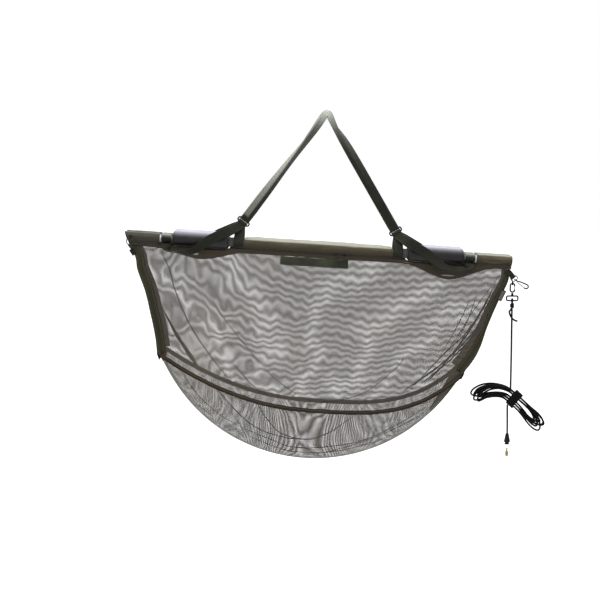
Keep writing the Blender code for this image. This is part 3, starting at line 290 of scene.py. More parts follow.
# Soft blotches and creases, for wear and uneven dye
tree, enter = startGroup("unevenDye", Place=None, Size=12.0)
broad = cloudy(tree, enter["Place"], enter["Size"], 4.0)
fine = cloudy(tree, enter["Place"], calc(tree, "MULTIPLY", enter["Size"], 5.0), 6.0, 0.65)
wearGroup = endGroup(tree, Blotch=ramp(tree, broad, 0.35, 0.68), Crease=ramp(tree, fine, 0.30, 0.72))

# Knitted net: rows of thread linked by short slanting ones, with round holes between them
tree, enter = startGroup("netHoles", Flat=None, Row=0.003, Column=0.003, RowShare=0.38, ColumnShare=0.18, Soft=0.08)
split = axes(tree, enter["Flat"])
column = calc(tree, "DIVIDE", split[0], enter["Column"])
row = calc(tree, "DIVIDE", split[1], enter["Row"])
row = calc(tree, "MULTIPLY_ADD", calc(tree, "PINGPONG", column, 0.5), 0.35, row)
covers = []
for spot, share in ((row, enter["RowShare"]), (column, enter["ColumnShare"])):
    off = calc(tree, "MULTIPLY", calc(tree, "PINGPONG", spot, 0.5), 2.0)      # 0 on the thread, 1 between
    soft = [calc(tree, way, share, enter["Soft"]) for way in ("SUBTRACT", "ADD")]
    covers.append(ramp(tree, off, *soft, 1.0, 0.0))
netGroup = endGroup(tree, Cover=calc(tree, "MAXIMUM", *covers))

# Braid on a cord: two sets of slanting strands
tree, enter = startGroup("cordBraid", Flat=None, Strand=0.0021)
split = axes(tree, enter["Flat"])
strands = [stripes(tree, calc(tree, way, split[0], split[1]), enter["Strand"]) for way in ("ADD", "SUBTRACT")]
high = calc(tree, "MULTIPLY", *strands)
braidGroup = endGroup(tree, Height=high, Shade=calc(tree, "MULTIPLY_ADD", high, 0.6, 0.4))


def startMaterial(name):
    made = bpy.data.materials.new(name)
    made.use_nodes = True
    return made, made.node_tree, made.node_tree.nodes["Principled BSDF"]


def flatMap(tree):
    return put(tree, "UVMap", uv_map="flat").outputs[0]


def objectPlace(tree):
    return put(tree, "TexCoord").outputs["Object"]


def stretched(tree, place, scale):
    return put(tree, "Mapping", {0: place, 3: scale}).outputs[0]


def giveBump(tree, shader, height, distance, strength):        # on top of a bump that is there already
    values = {"Height": height, "Distance": distance, "Strength": strength}
    for link in shader.inputs["Normal"].links:
        values["Normal"] = link.from_socket
    feed(tree, shader, {"Normal": put(tree, "Bump", values).outputs[0]})


def clothMaterial(name, dark, light, pitch, rough, stitches=(), threadTone=(90, 88, 66), sheen=0.0, coat=0.0):
    made, tree, shader = startMaterial(name)
    flat = flatMap(tree)
    weave = useGroup(tree, weaveGroup, Flat=flat, Pitch=pitch)
    wear = useGroup(tree, wearGroup, Place=objectPlace(tree), Size=14.0)
    # painted shade in the gaps between the threads
    gapShade = calc(tree, "MULTIPLY_ADD", weave["Shade"], -0.6, 0.6)
    colour = paint(tree, tone(dark), (wear["Blotch"], tone(light)), (gapShade, tone(dark, 0.45)))
    height = calc(tree, "MULTIPLY_ADD", wear["Crease"], 1.5, weave["Height"])
    for across in stitches:
        mask = useGroup(tree, stitchGroup, Flat=flat, Across=across)["Mask"]
        colour = paint(tree, colour, (mask, tone(threadTone)))
        height = calc(tree, "ADD", height, mask)
    feed(tree, shader, {"Base Color": colour, "Specular IOR Level": 0.2, "Sheen Weight": sheen,
                        "Roughness": calc(tree, "MULTIPLY_ADD", wear["Crease"], 0.16, rough - 0.08),
                        "Sheen Roughness": 0.45, "Coat Weight": coat, "Coat Roughness": 0.32})
    giveBump(tree, shader, height, 0.0004, 0.7)
    return made


def webbingMaterial(name, dark, light):
    edge, selvage, seam = 0.0135, (0.0026, 0.0008), 0.0040
    made, tree, shader = startMaterial(name)
    flat = flatMap(tree)
    ribs = useGroup(tree, ribGroup, Flat=flat)
    wear = useGroup(tree, wearGroup, Place=objectPlace(tree), Size=22.0)
    marks = {label: put(tree, "Attribute", attribute_name=label).outputs["Fac"] for label in ("sewn", "faded")}
    across = calc(tree, "ABSOLUTE", axes(tree, flat)[0])
    border = calc(tree, "MULTIPLY", ramp(tree, across, *[edge - inset for inset in selvage]), 0.5)
    runs = [useGroup(tree, stitchGroup, Flat=flat, Across=line, Pitch=0.0034)["Mask"]
            for line in (seam - edge, edge - seam)]
    threads = calc(tree, "MULTIPLY", calc(tree, "MAXIMUM", *runs), calc(tree, "GREATER_THAN", marks["sewn"], 0.5))
    # painted highlight, pale where the strap's per-point mark asks for it
    highlightShares = calc(tree, "MULTIPLY", marks["faded"], calc(tree, "MULTIPLY_ADD", ribs["Shade"], 0.2, 0.65))
    # painted shade between the ribs
    colour = paint(tree, tone(dark), (wear["Blotch"], tone(light)),
                   (calc(tree, "MULTIPLY_ADD", ribs["Shade"], -0.8, 0.8), tone(dark, 0.4)),
                   (border, tone(light)), (threads, tone((56, 57, 43))), (highlightShares, tone((196, 200, 190))))
    feed(tree, shader, {"Base Color": colour, "Roughness": 0.58, "Specular IOR Level": 0.16, "Sheen Weight": 0.05,
                        "Sheen Roughness": 0.4})
    giveBump(tree, shader, calc(tree, "ADD", ribs["Height"], threads), 0.0005, 0.8)
    return made


def netMaterial(name, thread=(60, 54, 46), row=0.0030, column=0.0030, rowShare=0.40, columnShare=0.28, drift=0.0,
                wave=0.0, turn=0.0, swirl=0.0, lumps=9.0, closing=(0.62, 1.0)):
    made, tree, shader = startMaterial(name)
    flat = flatMap(tree)
    split = axes(tree, flat)
    pull = cloudy(tree, flat, lumps, 1.5, noise_dimensions="2D")
    moved = put(tree, "Mapping", {0: flat, 1: (3.7, 1.9, 0)}).outputs[0]
    side = cloudy(tree, moved, 7.0, 1.0, noise_dimensions="2D")
    down = calc(tree, "MULTIPLY", pull, drift)
    if swirl:        # hangs less evenly towards the upper left
        left, upper = ramp(tree, split[0], 0.20, -0.42), ramp(tree, split[1], 0.43, 0.04)
        slope = calc(tree, "MULTIPLY", calc(tree, "MULTIPLY", left, left), upper)
        down = calc(tree, "MULTIPLY", down, calc(tree, "MULTIPLY_ADD", left, 1.6, 1.0))
        down = calc(tree, "SUBTRACT", down, calc(tree, "MULTIPLY", slope, swirl))
    down = calc(tree, "MULTIPLY_ADD", calc(tree, "PINGPONG", split[0], 0.0165), wave, down)
    down = calc(tree, "MULTIPLY_ADD", split[0], turn, down)
    out = calc(tree, "MULTIPLY", side, drift)
    moved = put(tree, "CombineXYZ", {0: calc(tree, "ADD", split[0], out), 1: calc(tree, "ADD", split[1], down)})
    cover = useGroup(tree, netGroup, Flat=moved.outputs[0], Row=row, Column=column, RowShare=rowShare,
                     ColumnShare=columnShare)["Cover"]
    wear = useGroup(tree, wearGroup, Place=objectPlace(tree), Size=5.0)
    edgeOn = put(tree, "LayerWeight", {"Blend": 0.5}).outputs["Facing"]      # thread closes up where the net turns away
    feed(tree, shader, {"Base Color": paint(tree, tone(thread), (wear["Blotch"], tone(thread, 1.35))),
                        "Alpha": calc(tree, "MAXIMUM", cover, ramp(tree, edgeOn, *closing, 0.0, 0.85)),
                        "Roughness": 0.6})
    giveBump(tree, shader, cover, 0.0003, 0.5)
    return made


def cordMaterial(name, dark, strand):
    made, tree, shader = startMaterial(name)
    braid = useGroup(tree, braidGroup, Flat=flatMap(tree), Strand=strand)
    wear = useGroup(tree, wearGroup, Place=objectPlace(tree), Size=30.0)
    # painted highlight on the crowns of the braid's strands
    light = calc(tree, "MULTIPLY", braid["Shade"], wear["Crease"])
    feed(tree, shader, {"Base Color": paint(tree, tone(dark), (light, tone(dark, 2.2))), "Roughness": 0.8,
                        "Specular IOR Level": 0.12})
    giveBump(tree, shader, braid["Height"], 0.0005, 0.6)
    return made


def metalMaterial(name, colour, metallic, rough, scratches, coated=None, gloss=0.5):
    made, tree, shader = startMaterial(name)
    place = objectPlace(tree)
    lines = cloudy(tree, stretched(tree, place, (40.0, 900.0, 900.0)), 1.0, 3.0)
    wear = useGroup(tree, wearGroup, Place=place, Size=160.0)
    base = paint(tree, tone(colour), (wear["Blotch"], tone(colour, 0.86)))
    if coated:
        base = paint(tree, base, (ramp(tree, wear["Crease"], 0.86, 0.96), tone(coated)))
    feed(tree, shader, {"Base Color": base, "Metallic": metallic, "Specular IOR Level": gloss,
                        "Roughness": calc(tree, "MULTIPLY_ADD", lines, scratches, rough)})
    giveBump(tree, shader, lines, 0.00006, 0.4)
    return made


def tubeMaterial(name):        # bare only past the floats, wrapped in dark tape between them
    made = metalMaterial(name, (158, 162, 164), 1.0, 0.30, 0.35)
    tree = made.node_tree
    shader = tree.nodes["Principled BSDF"]
    taped = calc(tree, "LESS_THAN", calc(tree, "ABSOLUTE", axes(tree, objectPlace(tree))[0]), 0.3975)
    base, rough = [shader.inputs[key].links[0].from_socket for key in ("Base Color", "Roughness")]
    feed(tree, shader, {"Base Color": paint(tree, base, (taped, tone((26, 25, 21)))),
                        "Roughness": put(tree, "Mix", {0: taped, 2: rough, 3: 0.6}).outputs[0],
                        "Metallic": calc(tree, "SUBTRACT", 1.0, taped)})
    return made


def foamMaterial(name, dark, light):
    made, tree, shader = startMaterial(name)
    place = objectPlace(tree)
    split = axes(tree, place)
    cells = put(tree, "TexVoronoi", {"Vector": place, "Scale": 900.0}).outputs["Distance"]
    wear = useGroup(tree, wearGroup, Place=place, Size=26.0)
    # painted highlight along the top of the floats, paler with height
    floatTopHighlight = ramp(tree, split[2], sling["tubeHeight"] + 0.004, sling["tubeHeight"] + 0.0265)
    sharp = ramp(tree, split[0], -0.1, 0.1, 3.0, 4.2)        # the painted top highlight: a soft edge on the left floats, a sharp one on the right
    colour = paint(tree, tone(dark), (wear["Blotch"], tone(light)),
                   (calc(tree, "MULTIPLY", wear["Crease"], 0.35), tone(dark, 0.7)),
                   (calc(tree, "POWER", floatTopHighlight, sharp), tone((206, 206, 222))))
    feed(tree, shader, {"Base Color": colour, "Specular IOR Level": 0.25,
                        "Roughness": calc(tree, "MULTIPLY_ADD", wear["Crease"], 0.2, 0.30)})
    giveBump(tree, shader, calc(tree, "ADD", cells, wear["Crease"]), 0.0005, 0.45)
    return made


def sleeveMaterial(name):      # painted highlight along the top of the tube, painted brown shade below it, creased
    made = clothMaterial(name, (56, 50, 28), (76, 69, 43), 0.0007, 0.42, stitches=(0.0040,), threadTone=(104, 98, 78),
                         sheen=0.05, coat=0.15)
    tree = made.node_tree
    shader = tree.nodes["Principled BSDF"]
    place, middle = objectPlace(tree), sling["tubeHeight"]
    out, _, height = axes(tree, place)
    # painted shade on the lower half and a painted highlight along the top; darker towards the left end
    lower = calc(tree, "MULTIPLY", ramp(tree, height, middle + 0.007, middle - 0.006), 0.85)
    ridgeHighlight = ramp(tree, height, middle + 0.0105, middle + 0.0132, high=0.7)
    colour = paint(tree, shader.inputs["Base Color"].links[0].from_socket, (lower, tone((38, 29, 13))),
                   (ridgeHighlight, tone((186, 186, 172))), (ramp(tree, out, -0.40, -0.44, high=0.7), tone((38, 36, 26))))
    for x, drop, reach, deep in ((-0.330, 0.036, 0.008, 0.003), (0.355, 0.050, 0.018, 0.0022)):      # painted glints where the hem stands open
        away = [calc(tree, "DIVIDE", calc(tree, "SUBTRACT", *pair), size)
                for pair, size in (((out, x), reach), ((height, middle - drop), deep))]
        away = calc(tree, "ADD", *[calc(tree, "MULTIPLY", share, share) for share in away])
        colour = paint(tree, colour, (ramp(tree, away, 1.3, 0.5, high=0.65), tone((178, 178, 164))))
    crease = cloudy(tree, stretched(tree, place, (14.0, 90.0, 170.0)), 1.0, 2.0)
    glint = calc(tree, "MULTIPLY", ramp(tree, crease, 0.64, 0.74), 0.35)
    feed(tree, shader, {"Base Color": paint(tree, colour, (glint, tone((150, 145, 124))))})
    giveBump(tree, shader, crease, 0.004, 0.6)
    return made


bandSeams = (0.0036, 0.0190)
looks = {
    "sleeve": sleeveMaterial("sleeveCloth"),
    "band": clothMaterial("bandCloth", (30, 29, 13), (42, 41, 21), 0.0008, 0.62, bandSeams),
    # painted shade: the band cloth again, darker, for the back half's bands, hems and folds
    "shadedBackBand": clothMaterial("shadedBackBandCloth", (20, 19, 12), (28, 27, 18), 0.0008, 0.7, bandSeams),
    "tape": clothMaterial("bindingTape", (28, 20, 11), (48, 37, 24), 0.0010, 0.66, (0.0016,), (112, 96, 76)),
    "endTape": clothMaterial("endTape", (34, 30, 19), (48, 42, 29), 0.0010, 0.66, (-0.0068, 0.0068)),
    "label": clothMaterial("labelCloth", (16, 17, 10), (62, 64, 47), 0.0006, 0.5, (-0.0098, 0.0098), (74, 78, 62)),
    "blackTape": clothMaterial("blackTape", (8, 8, 8), (14, 14, 13), 0.0008, 0.7),
    "tagEdge": clothMaterial("tagEdge", (16, 16, 14), (22, 22, 19), 0.0006, 0.6),
    "tagFace": clothMaterial("tagFace", (84, 83, 74), (98, 97, 86), 0.0006, 0.6),
    "webbing": webbingMaterial("oliveWebbing", (17, 18, 8), (28, 30, 16)),
    "frontNet": netMaterial("frontNet", drift=0.0085, wave=0.055, swirl=0.045),
    "backNet": netMaterial("backNet", row=0.00272, column=0.00302, drift=0.0060, turn=0.012),
    "bowlNet": netMaterial("bowlNet", (58, 52, 44), rowShare=0.48, columnShare=0.29, drift=0.0050, wave=0.03,
                           lumps=13.0, closing=(0.45, 0.95)),
    "gussetNet": netMaterial("gussetNet", rowShare=0.44, columnShare=0.24, drift=0.004),
    # denser thread in the folds, and darker thread as painted shade in them
    "shadedFoldNet": netMaterial("shadedFoldedNet", (30, 26, 20), rowShare=0.90, columnShare=0.60),
    "cord": cordMaterial("blackCord", (5, 5, 5), 0.0022),
    "tube": tubeMaterial("drawnTube"),
    "blackMetal": metalMaterial("blackWire", (6, 6, 6), 0.0, 0.6, 0.2, coated=(44, 44, 45), gloss=0.12),
    "plug": metalMaterial("plugPlastic", (24, 24, 23), 0.0, 0.42, 0.15),
    "darkSteel": metalMaterial("darkSteelWire", (44, 44, 43), 0.5, 0.5, 0.2, gloss=0.3),
    "brass": metalMaterial("dullBrass", (136, 122, 88), 1.0, 0.40, 0.25),
    "foam": foamMaterial("floatFoam", (13, 11, 11), (27, 23, 23)),
}
print("materials made")


# Building helpers
def addObject(name, data):
    made = bpy.data.objects.new(name, data)
    bpy.context.collection.objects.link(made)
    return made


def meshPiece(name, points, faces, flats, look, **marks):
    mesh = bpy.data.meshes.new(name)
    mesh.from_pydata([tuple(p) for p in points], [], faces)
    layer = mesh.uv_layers.new(name="flat")
    for loop in mesh.loops:
        layer.data[loop.index].uv = flats[loop.vertex_index]
    for label, values in marks.items():
        mesh.attributes.new(label, "FLOAT", "POINT").data.foreach_set("value", values)
    mesh.materials.append(look)
    mesh.polygons.foreach_set("use_smooth", [True] * len(mesh.polygons))
    mesh.update()
    return addObject(name, mesh)


def clothSheet(name, rows, look, holes=None):        # rows of spots, each a place and its place when laid flat
    wide = len(rows[0])
    spots = [spot for row in rows for spot in row]
    faces = []
    for j in range(len(rows) - 1):
        for i in range(wide - 1):
            if holes is None or not holes(j, i):
                a = j * wide + i
                faces.append((a, a + 1, a + wide + 1, a + wide))
    return meshPiece(name, [place for place, _ in spots], faces, [flat for _, flat in spots], look)


def selectOnly(piece, *others):
    bpy.ops.object.select_all(action="DESELECT")
    for each in (piece, *others):
        each.select_set(True)
    bpy.context.view_layer.objects.active = piece


def thicken(piece, cloth):
    wall = piece.modifiers.new("cloth", "SOLIDIFY")
    wall.thickness = cloth
    wall.offset = 0.0
    wall.use_even_offset = True
    selectOnly(piece)
    bpy.ops.object.modifier_apply(modifier=wall.name)


def ringFaces(rings, count, flipped=False, joined=False):        # skin over rings of points, ends closed or joined
    faces, total = [], rings * count
    for i in range(rings if joined else rings - 1):
        for k in range(count):
            a, b = i * count + k, i * count + (k + 1) % count
            c, d = (b + count) % total, (a + count) % total
            faces.append((a, b, c, d) if flipped else (a, d, c, b))
    if not joined:
        first, last = tuple(range(count)), tuple(range(total - count, total))
        faces += [first[::-1], last] if flipped else [first, last[::-1]]
    return faces


def strap(name, path, ways, width, cloth, look, square=True, sewn=None, crease=None, fade=None):
    columns, edge = 6, 0.03
    inner = [-0.5 + edge + (1 - 2 * edge) * k / columns for k in range(columns + 1)]
    section = [(-0.5, 0.0), *[(a, 0.5) for a in inner], (0.5, 0.0), *[(-a, -0.5) for a in inner]]
    points, flats, marks, faded = [], [], [], []
    for i, (point, along) in enumerate(zip(path, lengthsAlong(path))):
        ahead = aheadAt(path, i)
        across = (ways[i] - ahead * ways[i].dot(ahead)).normalized() if square else ways[i]
        out = ahead.cross(across).normalized()
        wide = width[i] if isinstance(width, list) else width
        vee = crease[i] if crease else 0.0
        for a, b in section:
            spread = across * a * wide * math.cos(math.atan(vee))
            points.append(point + spread + out * (b * cloth + vee * (0.25 - abs(a)) * wide))
            flats.append((a * wide, along))
            marks.append(sewn[i] if sewn else 0.0)
            # share of painted highlight, one for each half of the strap's width
            faded.append(fade[i][0 if a < -0.01 else 1] if fade else 0.0)
    faces = ringFaces(len(path), len(section), flipped=True)
    return meshPiece(name, points, faces, flats, look, sewn=marks, faded=faded)


def cordTube(name, path, diameter, sides=12):
    points, flats = [], []
    up = Vector((0, 1, 0.01))
    for i, (point, along) in enumerate(zip(path, lengthsAlong(path))):
        ahead = aheadAt(path, i)
        up = (up - ahead * up.dot(ahead)).normalized()
        side = ahead.cross(up)
        for k in range(sides):
            angle = 2 * math.pi * k / sides
            points.append(point + (up * math.cos(angle) + side * math.sin(angle)) * diameter / 2)
            flats.append((diameter * math.pi * min(k, sides - k) / sides, along))
    return meshPiece(name, points, ringFaces(len(path), sides), flats, looks["cord"])


def finish(piece, nodes=(), body=None, blended=None):
    selectOnly(piece)
    if nodes:
        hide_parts(*nodes)
    if blended:
        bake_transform(piece)
    else:
        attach(piece, body)
    return piece


# Camera, floor and light
studio = {
    "aim": (-0.040, 0.0, -0.508), "distance": 3.2, "elevation": 8.0, "roll": 3.74, "lens": 70.0,
    "floorSize": 24, "floorPlace": (0, 4, -1.5), "floorGlow": 0.74, "worldLight": 0.55,
    "lamps": (("keyLight", (-1.1, -1.8, 1.9), 42.0, 1.8), ("fillLight", (1.8, 2.2, 0.9), 14.0, 1.6),
              ("topLight", (0.1, -0.5, 1.5), 46.0, 2.4)),        # name, place, power and size
}


def seenPlainly(tree):        # by the camera, in gloss or through glass
    path = put(tree, "LightPath").outputs
    seen = calc(tree, "MAXIMUM", path["Is Camera Ray"], path["Is Glossy Ray"])
    return calc(tree, "MAXIMUM", seen, path["Is Transmission Ray"])


def addCamera():
    rise, roll = math.radians(studio["elevation"]), math.radians(studio["roll"])
    look = Vector((0, math.cos(rise), -math.sin(rise)))
    right, up = Vector((1, 0, 0)), Vector((0, math.sin(rise), math.cos(rise)))
    imageUp = up * math.cos(roll) - right * math.sin(roll)
    imageRight = right * math.cos(roll) + up * math.sin(roll)
    lens = bpy.data.cameras.new("photoCamera")
    lens.lens = studio["lens"]
    lens.sensor_width = 36
    lens.clip_end = 60
    camera = addObject("photoCamera", lens)
    camera.matrix_world = Matrix((imageRight, imageUp, -look)).transposed().to_4x4()
    camera.location = Vector(studio["aim"]) - look * studio["distance"]
    bpy.context.scene.camera = camera


def addFloor():
    bpy.ops.mesh.primitive_plane_add(size=studio["floorSize"], location=studio["floorPlace"])
    floor = bpy.context.object
    floor.name = "studioFloor"
    made, tree, shader = startMaterial("paleFloor")
    feed(tree, shader, {"Base Color": (0.8, 0.8, 0.8, 1), "Roughness": 0.9})
    giveBump(tree, shader, cloudy(tree, objectPlace(tree), 60.0, 3.0), 0.0004, 0.2)
    glow = put(tree, "Emission", {"Color": (1, 1, 1, 1), "Strength": studio["floorGlow"]})
    lifted = put(tree, "AddShader", {0: shader.outputs[0], 1: glow.outputs[0]})
    mix = put(tree, "MixShader", {0: seenPlainly(tree), 1: shader.outputs[0], 2: lifted.outputs[0]})
    feed(tree, tree.nodes["Material Output"], {"Surface": mix.outputs[0]})
    floor.data.materials.append(made)
    bpy.ops.object.select_all(action="DESELECT")


def addLight():
    world = bpy.data.worlds.new("paleRoom")
    bpy.context.scene.world = world
    world.use_nodes = True
    tree, dim = world.node_tree, studio["worldLight"]
    strength = calc(tree, "MULTIPLY_ADD", seenPlainly(tree), 1.0 - dim, dim)
    feed(tree, tree.nodes["Background"], {"Color": (1, 1, 1, 1), "Strength": strength})
    for name, place, power, size in studio["lamps"]:
        lamp = bpy.data.lights.new(name, "AREA")
        lamp.energy = power
        lamp.size = size
        light = addObject(name, lamp)
        light.location = place
        light.rotation_euler = (Vector(studio["aim"]) - Vector(place)).to_track_quat("-Z", "Y").to_euler()
    bpy.context.scene.view_settings.view_transform = "Standard"


addCamera()
addFloor()
addLight()
print("studio ready")


# Safety cord
cord = {
    "diameter": 0.004, "shown": 0.0050, "eyeHeight": 0.0165, "eyeWire": 0.004, "knotLength": 0.013,
    "knotDiameter": 0.0105, "knotTurns": 3, "knotSteps": 16,
    "tailStart": (-0.0028, 0.0022), "upperStart": (0.0004, -0.0022),
    "tail": ((-0.0068, 0.0340, 0.0032), (-0.0078, 0.0370, 0.0040), (-0.0045, 0.0470, 0.0050),
             (0.0014, 0.0557, 0.0054), (0.0085, 0.0602, 0.0050), (0.0145, 0.0625, 0.0040)),
    "upper": ((0.0004, 0.0500, -0.0010), (0.0010, 0.1200, 0.0), (0.0014, 0.1850, 0.0), (0.0016, 0.2502, 0.0)),
    "lower": ((-0.0062, 0.2954, 0.0), (-0.0058, 0.3180, 0.0), (-0.0052, 0.3420, 0.0), (-0.0049, 0.3600, 0.0),
              (-0.0047, 0.3764, 0.0)),
    "hankMiddle": ((-0.0300, 0.2555), (-0.0085, 0.2620), (0.0124, 0.2790), (0.0340, 0.2990), (0.0500, 0.3160)),
    "hankLefts": (((-0.109, 0.266), (-0.082, 0.258), (-0.056, 0.254)),
                  ((-0.106, 0.274), (-0.081, 0.261), (-0.055, 0.255)),
                  ((-0.101, 0.282), (-0.079, 0.265), (-0.054, 0.256)),
                  ((-0.094, 0.291), (-0.076, 0.270), (-0.053, 0.258))),
    "hankRights": (((0.076, 0.337), (0.101, 0.357)), ((0.069, 0.344), (0.084, 0.370)),
                   ((0.066, 0.341), (0.080, 0.362)), ((0.075, 0.335), (0.096, 0.351))),
    "hankStep": 0.0066, "tipStep": 0.0135, "hankLayer": 0.0046, "layers": 4, "layerLoops": 2, "loopPoints": 24,
    "lineSteps": 16, "lobeHalves": (0.028, 0.026, 0.024, 0.022), "waistShare": 0.1, "lobeShare": 0.8,
    "layerChange": 0.05, "wrapTurns": 4, "wrapPitch": 0.0052, "wrapPlay": 0.0007,
}
waistHalf = cord["hankStep"] * (cord["layerLoops"] + 0.5)


def layerLine(left, right):
    points = smoothRoute([onCord(a, b) for a, b in (*left, *cord["hankMiddle"], *right)], cord["lineSteps"])
    lengths = lengthsAlong(points)
    waist = lengths[(len(left) + len(cord["hankMiddle"]) // 2) * cord["lineSteps"]]
    return points, [length - waist for length in lengths]


hankLines = [layerLine(left, right) for left, right in zip(cord["hankLefts"], cord["hankRights"])]


def hankFrame(line, along):
    points, lengths = line
    k = min(max(i for i, length in enumerate(lengths) if length <= along), len(points) - 2)
    share = (along - lengths[k]) / (lengths[k + 1] - lengths[k])
    ahead = aheadAt(points, k, 6).lerp(aheadAt(points, k + 1, 6), share).normalized()
    return points[k].lerp(points[k + 1], share), ahead.cross(frontWay)


def hankRoute():
    points, loops = [], cord["layerLoops"]
    for i in range(cord["layers"] * loops * cord["loopPoints"] + 1):
        turn = i / cord["loopPoints"]
        angle = math.pi / 2 + 2 * math.pi * turn
        layer = min(math.floor(turn / loops), cord["layers"] - 1)
        within = turn - layer * loops
        inset = within if layer % 2 == 0 else loops - within
        nearest = round(turn / loops)
        away = (turn - nearest * loops) / cord["layerChange"]
        level = nearest - 0.5 + away / 2 if abs(away) < 1 and 0 < nearest < cord["layers"] else layer
        line = hankLines[layer]
        reach = line[1][-1] if math.cos(angle) > 0 else -line[1][0]
        along = (reach - cord["tipStep"] * inset) * math.cos(angle)
        openShare = ease(clamp((abs(along) / reach - cord["waistShare"]) / cord["lobeShare"]))
        half = between(waistHalf, cord["lobeHalves"][layer], openShare) - cord["hankStep"] * inset
        place, side = hankFrame(line, along)
        depth = (level - (cord["layers"] - 1) / 2) * cord["hankLayer"]
        points.append(place + side * half * math.sin(angle) + frontWay * depth)
    return points


def wrapRoute():
    reach, bend = (cord["layers"] - 1) / 2 * cord["hankLayer"], cord["diameter"] + cord["wrapPlay"]
    corners = ((1, 1), (-1, 1), (-1, -1), (1, -1), (1, 1))
    wraps = []
    for i in range(cord["wrapTurns"] * cord["loopPoints"] + 1):
        corner, k = divmod(i % cord["loopPoints"], 6)
        place, side = hankFrame(hankLines[0], cord["wrapPitch"] * (i / cord["loopPoints"] - cord["wrapTurns"] / 2))
        middle, other = [place + side * waistHalf * sx + frontWay * reach * sy
                         for sx, sy in corners[corner:corner + 2]]
        angle = math.pi / 2 * (corner + (k / 4 if k < 5 else 1))
        run = (side * math.cos(angle) + frontWay * math.sin(angle)) * bend
        wraps.append((middle if k < 5 else (middle + other) / 2) + run)
    return wraps


def addCord(name, node, path, sides=12):
    return finish(cordTube(name, path, cord["shown"], sides), [node], "cord_line")


def addCords():
    bar = (cord["eyeHeight"] - cord["eyeWire"]) / 2
    fold = (cord["eyeWire"] + cord["diameter"]) / 2 + sling["gap"]
    knotTop, leg = bar + fold * 1.7, cord["knotDiameter"] / 4
    down = [onCord(0, rise, leg) for rise in (knotTop + 0.001, knotTop - cord["diameter"] * 0.6)]
    over = partTurn(onCord(0, bar), frontWay, -downCord, fold, 0, math.pi, 12)
    bight = [*down, *over, *[place - frontWay * leg * 2 for place in down[::-1]]]
    addCord("cordBight", "cord_bight", evenRoute(bight, 34))

    # The knot: a bight wound three times round its own standing part
    radius, steps = cord["knotDiameter"] / 2 - cord["diameter"] * 0.42, cord["knotTurns"] * cord["knotSteps"]
    begin, reach = knotTop + cord["diameter"] * 0.45, cord["knotLength"] - cord["diameter"] * 0.9
    wind = []
    for i in range(steps + 1):
        angle = 2 * math.pi * i / cord["knotSteps"]
        wind.append(onCord(radius * math.cos(angle), begin + reach * i / steps, radius * math.sin(angle)))
    knot = cordTube("cordKnot", wind, cord["shown"] * 0.86)
    core = cordTube("cordKnotCore", [onCord(0, knotTop + cord["knotLength"] * k / 6) for k in range(7)],
                    cord["diameter"] * 1.3)
    selectOnly(knot, core)
    bpy.ops.object.join()
    finish(knot, ["cord_knot"], "cord_line")

    begin = knotTop + cord["knotLength"] + sling["gap"]
    for name, farEnd in (("upper", "object"), ("tail", "bare")):
        across, front = cord[name + "Start"]
        places = [(across, begin, front), (across, begin + cord["diameter"], front), *cord[name]]
        smooth = smoothRoute([onCord(*place) for place in places], 12)
        length = lengthsAlong(smooth)[-1]
        path = evenRoute(smooth, max(16, round(length / 0.004)))
        addCord("cord" + name.title(), "cord_" + name, path)
    smooth = smoothRoute([onCord(*place) for place in cord["lower"]], 12)
    path = evenRoute(smooth, 36)
    lower = addCord("cordLower", "cord_lower", path)
    for name, node, route in (("cordHank", "hank", smoothRoute(hankRoute(), 3)),
                              ("cordWrap", "hank_wrap", smoothRoute(wrapRoute(), 2))):
        addCord(name, node, route, sides=10)
    return lower, path, lengthsAlong(smooth)[-1]


lowerCord, lowerPath, lowerLength = addCords()
print("cords laid")


# Mesh bag
net = {"columns": 150, "rows": 48, "inset": 0.003, "rimSeam": 0.0008, "foldDepth": 0.0035, "keelGap": 0.0006,
       "bowlColumns": 150, "bowlRows": 56, "ripple": 0.0022, "bowlInset": 0.012, "edgeSteps": 56}
keelBlend = ((0, -0.05, -0.9), (0, 0.05, -0.9))


def panelPoint(side, x, drop, v, u):
    fold = math.sin(math.pi * v) ** 2 * math.sin(math.pi * u) * math.sin(2 * math.pi * (3.5 * u + 0.8 * v))
    fine = ripple(x * 34 + drop * 12, drop * 5, 3.0 + side) * math.sin(math.pi * v) * (1 - 0.6 * math.sin(math.pi * u))
    return fromTubes(x, side * (panelDepth(drop) + net["foldDepth"] * fold + net["ripple"] * fine), -drop)


def panelSides(v):
    level = between(skirt["endDrop"] - skirt["seam"], bag["cornerDrop"], v)
    return net["inset"] - edgeOut(-1, level), edgeOut(1, level) - net["inset"]


def addPanel(word, side, look):
    rows = []
    for j in range(net["rows"] + 1):
        v = j / net["rows"]
        left, right = panelSides(v)
        rows.append([])
        for i in range(net["columns"] + 1):
            u = i / net["columns"]
            x = between(left, right, u)
            drop = between(skirtAt(x) - skirt["seam"], rimAt(x) - net["rimSeam"], v)
            rows[-1].append((panelPoint(side, x, drop, v, u), (x, drop)))
    return finish(clothSheet(word + "Panel", rows, look), [word + "_panel"], word + "_half")


def bowlPoint(x, turn):        # turn runs from -1 at the front rim to 1 at the back rim, with the keel at 0
    angle = math.pi / 2 * (1 - abs(turn))
    high, low = rimAt(x) + net["rimSeam"], keelAt(x)
    deep = (panelDepth(high) - net["keelGap"]) * math.cos(angle) + net["keelGap"]
    if abs(turn) < 1e-6:
        deep = 0.0
    fine = ripple(x * 26, turn * 3 + x * 9, 9.0) * math.sin(math.pi * abs(turn)) * net["ripple"]
    return fromTubes(x, math.copysign(deep + fine, turn), -between(high, low, math.sin(angle)))


